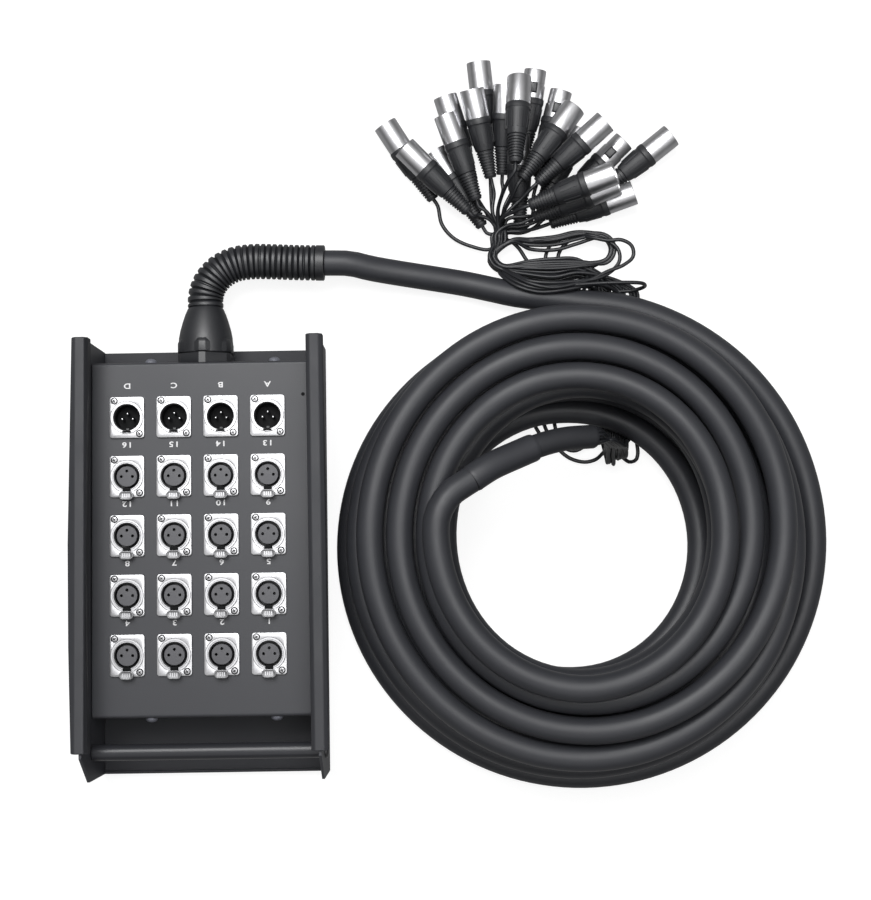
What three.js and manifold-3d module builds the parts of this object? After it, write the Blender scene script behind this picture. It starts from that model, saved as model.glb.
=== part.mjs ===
// Stage box snake: a steel floor box with twenty panel connectors, a flexible
// cable gland, a long multicore cable lying in a coil, and twenty thin tails
// that end in cable plugs.
// Lengths are millimetres. X runs across the box, Y along it towards the gland,
// Z up. The origin is the middle of the box's underside, on the floor.
import * as THREE from "three";
import { mergeVertices } from "three/addons/utils/BufferGeometryUtils.js";
import Module from "manifold-3d";

const wasm = await Module();
wasm.setup();

// Sizes shared by all pieces
const gap = 0.3; // free air between neighbouring pieces
const overrun = 2; // how far a cut runs past the face it opens
const same_point = 0.0005; // mesh points nearer than this are one point
const mesh_grid = 0.0001; // mesh points are rounded to this

// Steel box
const sheet = 2; // thickness of every steel sheet
const box_half = 86; // middle of the box to the inner face of a side frame
const frame_gland_end = 163.7; // side frame end beyond the gland wall
const frame_handle_end = -164.6; // side frame end beyond the carry bar
const frame_height = 88;
const corner_run = 20; // sloped corner of a side frame, along Y
const corner_drop = 30; // sloped corner of a side frame, along Z
const pan_gland_end = 163;
const pan_handle_end = -164.3;
const hem_height = 4.5; // folded lip of the base pan at the handle end
const flange_height = 12; // inner flanges of the base pan
const flange_inset = 3; // flange ends inside the two end walls
const panel_top = 53.5; // top face of the connector panel
const wall_gland = 148.5; // outer face of the wall that holds the gland
const wall_handle = -118.5; // outer face of the wall behind the carry bar
const bend = 2.6; // outer bend radius of the panel sheet
const bend_share = 0.29; // how far a bend's middle point lies from the corner

// Edge trims on the side frames
const trim_width = 12.6;
const trim_depth = 13;
const trim_rise = 3; // crest of a trim above its frame's upper edge
const trim_round = 3; // rounding of the trim's upper edges
const trim_foot_round = 1.6;
const trim_gland_end = 163.4;
const trim_handle_end = -141;
const left_shift_gland = 0.35; // outward shift of the left trim at three places
const left_shift_middle = 3;
const left_shift_handle = 0.65;
const right_shift_gland = -1.65; // the same for the right trim
const right_shift_middle = -0.6;
const right_shift_handle = -0.2;
const trim_stations = 5; // sections along a trim

// Carry bar between the side frames
const bar_y = -143.7;
const bar_z = 50;
const bar_radius = 6;
const bolt_radius = 4;
const bolt_head_radius = 6;
const bolt_head_height = 2.7;
const bar_sides = 12;

// Connector grid
const grid_x = -5.74; // middle of the grid
const grid_y = 17.4;
const column_step = 35.35;
const row_step = 44.62;
const columns = 4;
const rows = 5;
const hole_radius = 12;
const flange_width = 26;
const flange_length = 31;
const flange_thick = 2;
const flange_corner = 2;
const barrel_radius = 11.5;
const barrel_depth = 22; // below the panel's top face
const barrel_sides = 10;
const groove_outer = 9.65;
const groove_inner = 7.75;
const groove_depth = 12;
const pin_hole_radius = 1.05;
const pin_hole_depth = 10;
const pin_hole_sides = 5;
const female_pin_reach = 4.15; // female pin holes from the connector's middle
const male_recess_radius = 9.75;
const male_recess_depth = 13;
const male_pin_radius = 1;
const male_pin_height = 10;
const male_pin_side = 4;
const male_pin_front = 3.1;
const male_pin_back = -0.9;
const key_width = 6.1; // slot for the mating plug's key
const key_length = 1.4;
const key_y = -11;
const key_neck = 2.4;

// Latch tab of a female panel connector
const latch_travel = 1.8;
const tab_width = 10.7;
const tab_near = -10.9; // near and far edges of the tab, from the middle
const tab_far = -17.6;
const tab_thick = 2;
const tab_corner = 2.2;
const stem_width = 5.6;
const stem_near = -8.6;
const stem_far = -10.8;
const stem_depth = 9; // below the flange's top face
const pocket_width = 6.2;
const pocket_near = -8.3;
const pocket_far = -11.6;
const pocket_depth = 12;

// Cable gland, its axis runs along Y
const gland_x = -2.8;
const gland_z = 27;
const gland_hex_radius = 23.25;
const gland_hex_end = 156.8;
const gland_stem_radius = 16;
const locknut_radius = 21;
const locknut_thick = 5.5;
const nut_end = 193;
const nut_radii = [21.5, 20.6, 18.5, 15.6, 13.5]; // dome profile, base to neck
const nut_shares = [0, 0.36, 0.56, 0.84, 1]; // where those radii lie
const turned_sides = 12;

// Ribbed flex sleeve
const rib_radius = 13.75;
const rib_root_radius = 12.2;
const rib_count = 24;
const collar_length = 6.6;
const sleeve_sides = 8;
const sleeve_route = [
  [-2.8, 193.3, 27], [-2.6, 203, 27], [1, 213, 27], [9, 222, 26.6], [20, 227.6, 26.2],
  [33, 229.6, 25.8], [47, 229.5, 25.4], [65, 228.6, 25.1], [89.5, 227.8, 25],
];

// Main cable
const cable_radius = 9.9;
const cable_across = 9.9; // half width of the cable's six sided section
const cable_sink = 0.5; // the coil's underside is cut flat this deep
const lead_sides = 8;
const lead_steps = 15;
const lead_route = [
  [89.8, 227.79, 25], [109.3, 227.1, 24.6], [125, 223.8, 21], [146, 220.4, 17.2],
  [171, 216.5, 14.4], [198, 212, 12], [219, 207, 13], [237.9, 202.4, 14.1],
  [257.7, 199.64, 14.1],
];
const coil_x = 276;
const coil_y = 7.5;
const coil_x_step = 1; // the outer loops lie this much further right, each
const coil_y_step = 0.15; // and this much further up the picture
const inner_radius = 103.3; // innermost loop's middle line, along Y
const inner_flat = 3.4; // the same is this much less along X
const loop_step = 21.3; // from a loop to the next in one layer, along Y
const loop_step_wide = 1.4; // more than that along X
const layer_rise = 20.4; // from a layer to the next
const layer_x = 0.8; // each layer lies this much further right than the one below
const layer_y = 1.9; // and this much further up the picture
const layer_wider = 2.4; // and its innermost loop is this much larger
const layer_flat = 1; // and that much flatter along X
const climb_turns = 0.5; // a climb from one layer to the next
const climb_bulge_in = 3.9; // sideways bulge of a climb at the hole
const climb_bulge_out = 4.8; // and of one at the outer edge
const loop_steps = 18; // points in a turn
// Loops between the innermost one and where each layer starts; it ends where
// the next one starts. The last climb leads to a short stretch on top.
const layer_starts = [4, 0, 2.75, 0, 2.25, 0];
const top_turns = 0.25;
const lift = 4.2; // the coil rides over the flat band of tails
const lift_middle = 77; // degrees, where the band passes under
const lift_half = 30;
const lift_fade = 36;
const coil_start = [258, 199.6, 14.1];
const coil_leave = [[175.5, 29.4, 112.2], [183.8, 42, 110.8], [199, 52.4, 107.2]];

// Breakout boot at the coil's inner end
const boot_radius = 10.4;
const boot_thin_radius = 9;
const boot_step_share = 0.58;
const boot_sides = 10;
const boot_steps = 10;
const boot_route = [
  [199.36, 52.65, 107.11], [206.5, 57.5, 105.4], [214.9, 62.6, 102.4], [232.4, 70.6, 95],
  [250.9, 78.3, 86.8], [269.4, 83.2, 78], [291.8, 85.6, 67],
];

// Tails
const tail_radius = 1.5;
const tail_count = 20;
const tail_sides = 5;
const band_top = 3.2; // crest of the flat band of tails
const band_valley = 2.2;
const band_foot = 0.2;
const band_y = [60, 88, 140, 199]; // stations of the band
const band_left = [286, 255, 270, 283];
const band_right = [316, 333, 335, 336];
const neck_radius = 7.5;
const neck_sides = 8;
const neck_route = [
  [292.17, 85.64, 66.82], [295.9, 86.04, 64.98], [302, 84.5, 59], [307, 81, 46], [310, 78, 28],
  [310, 73, 12], [303, 68, 8.4],
];

// Hank of wound tails
const hank_x = 267;
const hank_y = 229;
const hank_half = 25.7; // half of the hank's straight side
const hank_inner = 6; // innermost loop's end radius
const hank_step = 3.6;
const hank_loops = 4;
const hank_steps = 16; // points in a turn
const hank_foot = 1.9; // middle line of the lowest layer
const hank_bulge = 0.6;
const hank_entry = [[300, 199.3, 1.9], [300, 202.6, 1.9], [297.5, 206.6, 1.9], [291, 208.4, 1.9]];
const hank_leave = [[221.8, 238, 5.5], [221.8, 247, 5.5]];

// Cable plugs: radii and where they lie from tip to boot end
const plug_length = 70;
const plug_sides = 8;
const plug_radii = [9.3, 9.3, 9.8, 9.8, 8, 6.2, 4.2];
const plug_shares = [0, 0.3, 0.33, 0.48, 0.58, 0.78, 1];
const button_from = 11; // latch button of a female plug, from the tip
const button_length = 7.4;
const button_width = 5.4;
const button_foot = 6;
const button_top = 11.1;
const button_travel = 1.5;
const button_pocket = 4;
const clasp_radius = 6; // where the tails leave the hank
const clasp_route = [[221.8, 247.3, 7.2], [222.4, 251, 7.6], [224, 257, 8.5]];

// Route of every tail from the clasp: points it passes, then its plug's boot
// end, then the plug's tip. The plug lies along the last step.
const male_routes = [
  [[214, 251, 7], [203, 256, 4], [192, 265, 4], [175.5, 280, 5], [137.5, 339.5, 14.5]],
  [[219, 262, 14], [208, 265, 17], [201.7, 267.5, 21.5], [152.8, 316.6, 31]],
  [[218, 266, 9], [208.5, 284, 4.2], [205.7, 295, 5], [185.2, 361, 14.7]],
  [[221, 268, 14], [222.5, 283, 13], [220.2, 295.6, 13], [206, 361.8, 30.7]],
  [[221, 272, 5], [220, 300, 4.8], [218.8, 319.2, 4.8], [212, 388, 14.7]],
  [[225.5, 270, 8], [230, 288, 5.5], [229.5, 299.3, 7], [232.8, 367.3, 23]],
  [[225, 268, 21], [233, 286, 46], [238.2, 298.5, 49.3], [243, 367.6, 39.5]],
  [[229, 266, 15], [236.5, 278, 28], [243.6, 289.8, 33], [285.4, 346, 30.5]],
  [[232, 262, 13], [247, 264, 15], [258, 270.5, 12.2], [289.7, 332.8, 15]],
  [[230, 264, 18], [243, 276, 22], [256, 287.6, 27], [308.8, 332, 39.3]],
  [[228, 261, 22], [238, 264.5, 32], [248.9, 267.7, 38], [313.6, 287.8, 55.8]],
  [[233, 256.4, 10], [242, 256.6, 10.7], [254, 260.5, 9.5], [266, 267, 11], [278, 272.5, 12.5],
    [292, 278.5, 8], [307.4, 285, 5], [362.6, 326.8, 15]],
  [[233, 253.2, 10], [242, 253.2, 10.7], [252, 255.4, 6.5], [266.5, 260.2, 5], [332, 280.8, 18.4]],
  [[219.5, 252, 6.5], [213, 258.6, 6.4], [175.8, 317.3, 13.4]],
  [[232, 257, 15], [243, 258, 18], [253.3, 262, 19.2], [317.3, 284.2, 36.6]],
  [[220, 263, 16], [214.5, 269, 19], [208.4, 276.8, 20.3], [185.3, 342, 30]],
];
const female_routes = [
  [[230, 271, 5], [240, 292, 4], [246.4, 312.5, 5], [257, 381, 14.7]],
  [[233, 255.6, 7.2], [243, 255.2, 7.6], [250.6, 260.6, 4.6], [253.4, 270, 2.6], [254, 283, 2.6],
    [258, 297.2, 5], [277, 363.8, 15]],
  [[233, 253, 6.2], [243, 252.8, 5.6], [253, 256.8, 3], [263, 265.5, 3], [275, 275.5, 5],
    [325.4, 322.7, 15.7]],
  [[231, 255, 4], [238, 253.6, 3], [242.6, 260, 5], [242.2, 326, 27.6]],
];

// Colours and surfaces
const finishes = {
  coat: { color: "#46484c", roughness: 0.55, metalness: 0.35 },
  panel: { color: "#55575b", roughness: 0.5, metalness: 0.35 },
  foam: { color: "#1d1d1f", roughness: 0.9, metalness: 0 },
  nickel: { color: "#d3d4d6", roughness: 0.32, metalness: 0.85 },
  bar: { color: "#2b2c2e", roughness: 0.6, metalness: 0.2 },
  plastic: { color: "#19191b", roughness: 0.5, metalness: 0 },
  rubber: { color: "#222326", roughness: 0.6, metalness: 0 },
  tail: { color: "#151517", roughness: 0.6, metalness: 0 },
};

// Helpers
const up = new THREE.Vector3(0, 0, 1);
const point = ([x, y, z]) => new THREE.Vector3(x, y, z);

// Turns a closed geometry into a solid that can be cut and joined.
function solidOf(geometry) {
  const bare = new THREE.BufferGeometry();
  bare.setAttribute("position", geometry.getAttribute("position").clone());
  if (geometry.index) bare.setIndex(geometry.index.clone());
  const merged = mergeVertices(bare, same_point);
  const corners = merged.index.array;
  const kept = [];
  for (let i = 0; i < corners.length; i += 3) {
    const [a, b, c] = [corners[i], corners[i + 1], corners[i + 2]];
    if (a !== b && b !== c && c !== a) kept.push(a, b, c);
  }
  return new wasm.Manifold(new wasm.Mesh({
    numProp: 3,
    vertProperties: Float32Array.from(merged.getAttribute("position").array,
      (value) => Math.round(value / mesh_grid) * mesh_grid),
    triVerts: new Uint32Array(kept),
  }));
}

// Names a solid and gives it its own surface.
function piece(name, solid, finish) {
  const mesh = solid.getMesh();
  const geometry = new THREE.BufferGeometry();
  geometry.setAttribute("position", new THREE.BufferAttribute(mesh.vertProperties, 3));
  geometry.setIndex(new THREE.BufferAttribute(mesh.triVerts, 1));
  geometry.computeVertexNormals();
  const made = new THREE.Mesh(geometry, new THREE.MeshStandardMaterial(finishes[finish]));
  made.name = name;
  return made;
}

// Box between two corners.
function block(low, high) {
  const size = high.map((value, i) => value - low[i]);
  const box = new THREE.BoxGeometry(...size);
  box.translate(...low.map((value, i) => value + size[i] / 2));
  return solidOf(box);
}

// Outline in X and Y, raised from one height to another.
function prism(outline, foot, top) {
  const shape = new THREE.Shape(outline.map(([x, y]) => new THREE.Vector2(x, y)));
  const body = new THREE.ExtrudeGeometry(shape, { depth: top - foot, bevelEnabled: false });
  body.translate(0, 0, foot);
  return solidOf(body);
}

// Outline in Y and Z, carried from one X to another.
function crossPrism(outline, from, to) {
  const shape = new THREE.Shape(outline.map(([y, z]) => new THREE.Vector2(y, z)));
  const body = new THREE.ExtrudeGeometry(shape, { depth: to - from, bevelEnabled: false });
  body.applyMatrix4(new THREE.Matrix4().makeBasis(
    new THREE.Vector3(0, 1, 0), new THREE.Vector3(0, 0, 1), new THREE.Vector3(1, 0, 0)));
  body.translate(from, 0, 0);
  return solidOf(body);
}

// Upright rod with flat sides.
function post(x, y, radius, sides, foot, top) {
  const rod = new THREE.CylinderGeometry(radius, radius, top - foot, sides);
  rod.rotateX(Math.PI / 2);
  rod.translate(x, y, (foot + top) / 2);
  return solidOf(rod);
}

// Body turned about the line from one point to another.
function turned(from, to, radii, shares, sides, twist = 0) {
  const axis = to.clone().sub(from);
  const length = axis.length();
  const profile = [new THREE.Vector2(0, shares[0] * length)];
  radii.forEach((radius, i) => profile.push(new THREE.Vector2(radius, shares[i] * length)));
  profile.push(new THREE.Vector2(0, shares[shares.length - 1] * length));
  const body = new THREE.LatheGeometry(profile, sides);
  body.rotateY(twist);
  body.applyQuaternion(new THREE.Quaternion().setFromUnitVectors(
    new THREE.Vector3(0, 1, 0), axis.normalize()));
  body.translate(from.x, from.y, from.z);
  return solidOf(body);
}

const rod = (from, to, radius, sides, twist = 0) =>
  turned(from, to, [radius, radius], [0, 1], sides, twist);

// Rounded rectangle about a point, one cut corner for each rounding.
function plate(x, y, width, length, corner) {
  const [a, b] = [width / 2, length / 2];
  return [
    [x - a + corner, y - b], [x + a - corner, y - b], [x + a, y - b + corner],
    [x + a, y + b - corner], [x + a - corner, y + b], [x - a + corner, y + b],
    [x - a, y + b - corner], [x - a, y - b + corner],
  ];
}

// Round section with flat sides; the foot of the section is a flat side.
function ring(radius, sides) {
  const places = [];
  for (let i = 0; i < sides; i += 1) {
    const turn = (2 * Math.PI * (i + 1 / 2)) / sides - Math.PI / 2;
    places.push([radius * Math.cos(turn), radius * Math.sin(turn)]);
  }
  return places;
}

// Six sided cord section, wide as the cord, its foot as low as asked.
function cordSection(across, foot) {
  const high = across * Math.sin(Math.PI / 3);
  return [[-across / 2, -foot], [across / 2, -foot], [across, 0],
    [across / 2, high], [-across / 2, high], [-across, 0]];
}

// Carries a section along a line of points and closes both ends.
function sweep(points, sections) {
  const places = [];
  const faces = [];
  const count = sections[0].length;
  points.forEach((spot, i) => {
    const ahead = points[Math.min(i + 1, points.length - 1)];
    const behind = points[Math.max(i - 1, 0)];
    const along = ahead.clone().sub(behind).normalize();
    const side = new THREE.Vector3().crossVectors(along, up).normalize();
    const rise = new THREE.Vector3().crossVectors(side, along);
    sections[i].forEach(([a, b]) => {
      const corner = spot.clone().addScaledVector(side, a).addScaledVector(rise, b);
      places.push(corner.x, corner.y, corner.z);
    });
  });
  for (let i = 0; i + 1 < points.length; i += 1) {
    for (let j = 0; j < count; j += 1) {
      const k = (j + 1) % count;
      const [a, b] = [i * count + j, i * count + k];
      faces.push(a, a + count, b + count, a, b + count, b);
    }
  }
  const last = (points.length - 1) * count;
  const flat = (section) => THREE.ShapeUtils.triangulateShape(
    section.map(([a, b]) => new THREE.Vector2(a, b)), []);
  flat(sections[0]).forEach(([a, b, c]) => faces.push(a, b, c));
  flat(sections[sections.length - 1]).forEach(([a, b, c]) => faces.push(last + a, last + c, last + b));
  const body = new THREE.BufferGeometry();
  body.setAttribute("position", new THREE.Float32BufferAttribute(places, 3));
  body.setIndex(faces);
  return solidOf(body);
}

const tube = (points, section) => sweep(points, points.map(() => section));

// Evenly spaced points on a smooth line through a route.
const smooth = (route, steps) =>
  new THREE.CatmullRomCurve3(route.map(point), false, "centripetal").getSpacedPoints(steps);

const joined = (solids) => solids.reduce((all, one) => all.add(one));

// Steel box
function basePan() {
  const half = box_half - gap;
  const slab = block([-half, pan_handle_end, 0], [half, pan_gland_end, sheet]);
  const hem = block([-half, pan_handle_end, 0], [half, pan_handle_end + sheet, hem_height]);
  const from = wall_handle + flange_inset;
  const to = wall_gland - flange_inset;
  const left = block([-half, from, 0], [sheet - half, to, flange_height]);
  const right = block([half - sheet, from, 0], [half, to, flange_height]);
  return joined([slab, hem, left, right]);
}

function sideFrame(side) {
  const near = side > 0 ? box_half : -box_half - sheet;
  const outline = [
    [frame_handle_end, 0], [frame_gland_end, 0], [frame_gland_end, frame_height],
    [frame_handle_end + corner_run, frame_height],
    [frame_handle_end, frame_height - corner_drop],
  ];
  const body = crossPrism(outline, near, near + sheet);
  const hole = rod(new THREE.Vector3(near - overrun, bar_y, bar_z),
    new THREE.Vector3(near + sheet + overrun, bar_y, bar_z), bolt_radius + gap, bar_sides);
  return body.subtract(hole);
}

// Slotted strip pushed over a side frame's upper edge.
function edgeTrim(side, shift_gland, shift_middle, shift_handle) {
  const middle = side * (box_half + sheet / 2);
  const points = [];
  const sections = [];
  for (let i = 0; i < trim_stations; i += 1) {
    const share = i / (trim_stations - 1);
    const y = trim_handle_end + share * (trim_gland_end - trim_handle_end);
    const straight = shift_handle + share * (shift_gland - shift_handle);
    const bow = shift_middle - (shift_gland + shift_handle) / 2;
    const shift = side * (straight + 4 * share * (1 - share) * bow);
    const half = trim_width / 2;
    const trim_top = frame_height + trim_rise;
    const foot = trim_top - trim_depth;
    const slot = sheet / 2 + gap;
    const slot_top = frame_height + gap;
    points.push(new THREE.Vector3(middle, y, 0));
    sections.push([
      [slot, foot], [shift + half - trim_foot_round, foot], [shift + half, foot + trim_foot_round],
      [shift + half, trim_top - trim_round], [shift + half - trim_round, trim_top],
      [shift - half + trim_round, trim_top], [shift - half, trim_top - trim_round],
      [shift - half, foot + trim_foot_round], [shift - half + trim_foot_round, foot],
      [-slot, foot], [-slot, slot_top], [slot, slot_top],
    ]);
  }
  return sweep(points, sections);
}

function carryBar() {
  const half = box_half - gap;
  const head = box_half + sheet + gap;
  const at = (x) => new THREE.Vector3(x, bar_y, bar_z);
  const bolt = rod(at(-head), at(head), bolt_radius, bar_sides);
  const bar = rod(at(-half), at(half), bar_radius, bar_sides);
  const left = rod(at(-head - bolt_head_height), at(-head), bolt_head_radius, bar_sides);
  const right = rod(at(head), at(head + bolt_head_height), bolt_head_radius, bar_sides);
  return joined([bar, bolt, left, right]);
}

// Connector panel
function gridPlace(row, column) {
  return [
    grid_x + (column - (columns - 1) / 2) * column_step,
    grid_y + ((rows - 1) / 2 - row) * row_step,
  ];
}

// Outline of the bent sheet, seen along X.
function panelOutline() {
  const foot = sheet + gap;
  const soft = bend * bend_share;
  return [
    [wall_handle, foot], [wall_handle + sheet, foot], [wall_handle + sheet, panel_top - sheet],
    [wall_gland - sheet, panel_top - sheet], [wall_gland - sheet, foot], [wall_gland, foot],
    [wall_gland, panel_top - bend], [wall_gland - soft, panel_top - soft],
    [wall_gland - bend, panel_top], [wall_handle + bend, panel_top],
    [wall_handle + soft, panel_top - soft], [wall_handle, panel_top - bend],
  ];
}

function frontPanel() {
  const half = box_half - gap;
  let body = crossPrism(panelOutline(), -half, half);
  for (let row = 0; row < rows; row += 1) {
    for (let column = 0; column < columns; column += 1) {
      const [x, y] = gridPlace(row, column);
      body = body.subtract(post(x, y, hole_radius, barrel_sides,
        panel_top - sheet - overrun, panel_top + overrun));
    }
  }
  const hole = rod(new THREE.Vector3(gland_x, wall_gland - sheet - overrun, gland_z),
    new THREE.Vector3(gland_x, wall_gland + overrun, gland_z),
    gland_stem_radius + gap, turned_sides);
  return body.subtract(hole);
}

// Flange and barrel that both kinds of panel connector share.
function connectorBlank(x, y) {
  const foot = panel_top + gap;
  const flange = prism(plate(x, y, flange_width, flange_length, flange_corner),
    foot, foot + flange_thick);
  const barrel = post(x, y, barrel_radius, barrel_sides, panel_top - barrel_depth, foot + gap);
  return flange.add(barrel);
}

function femaleConnector(x, y) {
  const top = panel_top + gap + flange_thick;
  const above = top + overrun;
  const groove = post(x, y, groove_outer, barrel_sides, top - groove_depth, above)
    .subtract(post(x, y, groove_inner, barrel_sides, top - groove_depth - overrun, above + overrun));
  let body = connectorBlank(x, y).subtract(groove);
  const pocket = block([x - pocket_width / 2, y + pocket_far, top - pocket_depth],
    [x + pocket_width / 2, y + pocket_near, above]);
  body = body.subtract(pocket);
  const reach = female_pin_reach;
  [[0, reach], [-reach, 0], [reach, 0]].forEach(([a, b]) => {
    body = body.subtract(post(x + a, y + b, pin_hole_radius, pin_hole_sides,
      top - pin_hole_depth, above));
  });
  return body;
}

// Sprung release tab of a female panel connector; it is pushed straight down.
function latchTab(x, y) {
  const top = panel_top + gap + flange_thick;
  const foot = top + gap + latch_travel;
  const middle = (tab_near + tab_far) / 2;
  const tab = prism(plate(x, y + middle, tab_width, tab_near - tab_far, tab_corner),
    foot, foot + tab_thick);
  const bridge = block([x - stem_width / 2, y + middle, foot],
    [x + stem_width / 2, y + stem_near, foot + tab_thick]);
  const stem = block([x - stem_width / 2, y + stem_far, top - stem_depth],
    [x + stem_width / 2, y + stem_near, foot + tab_thick]);
  return joined([tab, bridge, stem]);
}

function maleConnector(x, y) {
  const top = panel_top + gap + flange_thick;
  const above = top + overrun;
  const floor = top - male_recess_depth;
  let body = connectorBlank(x, y)
    .subtract(post(x, y, male_recess_radius, barrel_sides, floor, above));
  const key = block([x - key_width / 2, y + key_y - key_length / 2, top - flange_thick],
    [x + key_width / 2, y + key_y + key_length / 2, above]);
  const neck = block([x - key_neck / 2, y + key_y, top - flange_thick],
    [x + key_neck / 2, y + key_y / 2, above]);
  body = body.subtract(key).subtract(neck);
  [[0, male_pin_front], [-male_pin_side, male_pin_back], [male_pin_side, male_pin_back]]
    .forEach(([a, b]) => {
      body = body.add(post(x + a, y + b, male_pin_radius, pin_hole_sides,
        floor - overrun, floor + male_pin_height));
    });
  return body;
}

// Cable gland
const glandAt = (y) => new THREE.Vector3(gland_x, y, gland_z);

// Body with its hexagon outside the wall and its locknut inside.
function glandBody() {
  const inside = wall_gland - sheet - gap;
  const level = Math.PI / 6; // turns a hexagon so that a flat side lies level
  const hex = rod(glandAt(wall_gland + gap), glandAt(gland_hex_end), gland_hex_radius, 6, level);
  const stem = rod(glandAt(inside - locknut_thick - overrun), glandAt(gland_hex_end - overrun),
    gland_stem_radius, turned_sides);
  const locknut = rod(glandAt(inside - locknut_thick), glandAt(inside), locknut_radius, 6, level);
  return joined([hex, stem, locknut]);
}

function glandNut() {
  return turned(glandAt(gland_hex_end + gap), glandAt(nut_end), nut_radii, nut_shares, turned_sides);
}

// Ribbed sleeve: two sections for each rib, then a plain collar.
function flexSleeve() {
  const line = new THREE.CatmullRomCurve3(sleeve_route.map(point), false, "centripetal");
  const whole = line.getLength();
  const ribbed = 1 - collar_length / whole;
  const points = [];
  const sections = [];
  for (let i = 0; i <= 2 * rib_count; i += 1) {
    points.push(line.getPointAt((ribbed * i) / (2 * rib_count)));
    sections.push(ring(i % 2 ? rib_radius : rib_root_radius, sleeve_sides));
  }
  points.push(line.getPointAt(ribbed + (1 - ribbed) / 5), line.getPointAt(1));
  sections.push(ring(rib_radius, sleeve_sides), ring(rib_radius, sleeve_sides));
  return sweep(points, sections);
}

// Main cable
function cableLead() {
  return tube(smooth(lead_route, lead_steps), ring(cable_radius, lead_sides));
}

// How much the coil is raised at an angle, over the flat band of tails.
function lifted(angle) {
  const degrees = THREE.MathUtils.radToDeg(angle);
  const away = Math.abs(THREE.MathUtils.euclideanModulo(degrees - lift_middle + 180, 360) - 180);
  const share = THREE.MathUtils.clamp((away - lift_half) / lift_fade, 0, 1);
  return lift * Math.cos((share * Math.PI) / 2) ** 2;
}

// A point of the coil: turns run clockwise from the top of the picture.
function coilPoint(turn, loops, level, bulge) {
  const angle = Math.PI / 2 - 2 * Math.PI * turn;
  const wide = Math.cos(angle) ** 2;
  const radius = inner_radius + layer_wider * level - (inner_flat + layer_flat * level) * wide
    + loops * (loop_step + loop_step_wide * wide) + bulge;
  return new THREE.Vector3(
    coil_x + coil_x_step * loops + layer_x * level + radius * Math.cos(angle),
    coil_y + coil_y_step * loops + layer_y * level + radius * Math.sin(angle),
    cable_radius + layer_rise * level + lifted(angle));
}

// Layer on layer, inwards and outwards by turns, with a climb between two.
function coilLine() {
  const points = [point(coil_start)];
  const layers = layer_starts.length - 1;
  let begun = 0;
  let step = 0;
  const walk = (turns, spotAt) => {
    for (; step <= (begun + turns) * loop_steps; step += 1) {
      const turn = step / loop_steps;
      points.push(spotAt(turn, turn - begun));
    }
    begun += turns;
  };
  for (let level = 0; level < layers; level += 1) {
    const [from, to] = [layer_starts[level], layer_starts[level + 1]];
    const way = Math.sign(to - from);
    const bulge = to > 0 ? climb_bulge_out : climb_bulge_in;
    walk(Math.abs(to - from), (turn, gone) => coilPoint(turn, from + way * gone, level, 0));
    walk(climb_turns, (turn, gone) => {
      const share = gone / climb_turns;
      return coilPoint(turn, to, level + share, way * bulge * Math.sin(Math.PI * share));
    });
  }
  walk(top_turns, (turn) => coilPoint(turn, 0, layers, 0));
  coil_leave.forEach((spot) => points.push(point(spot)));
  return points;
}

function cableCoil() {
  const coil = tube(coilLine(), cordSection(cable_across, cable_radius + cable_sink));
  const reach = inner_radius * 3;
  const floor = block([coil_x - reach, coil_y - reach, -cable_radius], [coil_x + reach, coil_y + reach, 0]);
  return coil.subtract(floor);
}

// Boot where the tails leave the cable, with a thinner sleeve beyond it.
function breakoutBoot() {
  const points = smooth(boot_route, boot_steps);
  const step = Math.round(boot_steps * boot_step_share);
  const face = points[step].clone().lerp(points[step - 1], gap);
  points.splice(step, 0, face);
  const sections = points.map((spot, i) => ring(i <= step ? boot_radius : boot_thin_radius, boot_sides));
  return sweep(points, sections);
}

// Tails
// Flat band of tails under the coil, with the bundle that feeds it.
function tailRibbon() {
  const points = [];
  const sections = [];
  band_y.forEach((y, i) => {
    const width = band_right[i] - band_left[i];
    const half = width / 2;
    points.push(new THREE.Vector3(band_left[i] + half, y, 0));
    const section = [[-half, band_foot], [half, band_foot]];
    for (let j = 0; j <= 2 * tail_count; j += 1) {
      section.push([half - (j * width) / (2 * tail_count), j % 2 ? band_top : band_valley]);
    }
    sections.push(section);
  });
  const straight = points.map((spot) => new THREE.Vector3(0, spot.y, 0));
  points.forEach((spot, i) => sections[i].forEach((corner) => { corner[0] += spot.x; }));
  const neck = tube(neck_route.map(point), ring(neck_radius, neck_sides));
  return sweep(straight, sections).add(neck);
}

// A point of the hank: turns run clockwise from the middle of its near side.
function hankPoint(turn, loops, level, bulge) {
  const radius = hank_inner + loops * hank_step + bulge;
  const z = hank_foot + level * hank_step;
  const part = THREE.MathUtils.euclideanModulo(turn, 1);
  const arc = 0.4; // share of a turn on each rounded end
  const run = (1 - 2 * arc) / 4; // share of a turn on half of a straight side
  const at = (x, y) => new THREE.Vector3(hank_x + x, hank_y + y, z);
  if (part <= run) return at((-hank_half * part) / run, -radius);
  if (part < run + arc) {
    const angle = -Math.PI / 2 - (Math.PI * (part - run)) / arc;
    return at(-hank_half + radius * Math.cos(angle), radius * Math.sin(angle));
  }
  if (part <= 3 * run + arc) return at((hank_half * (part - 0.5)) / run, radius);
  if (part < 3 * run + 2 * arc) {
    const angle = Math.PI / 2 - (Math.PI * (part - 3 * run - arc)) / arc;
    return at(hank_half + radius * Math.cos(angle), radius * Math.sin(angle));
  }
  return at((hank_half * (1 - part)) / run, -radius);
}

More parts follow.
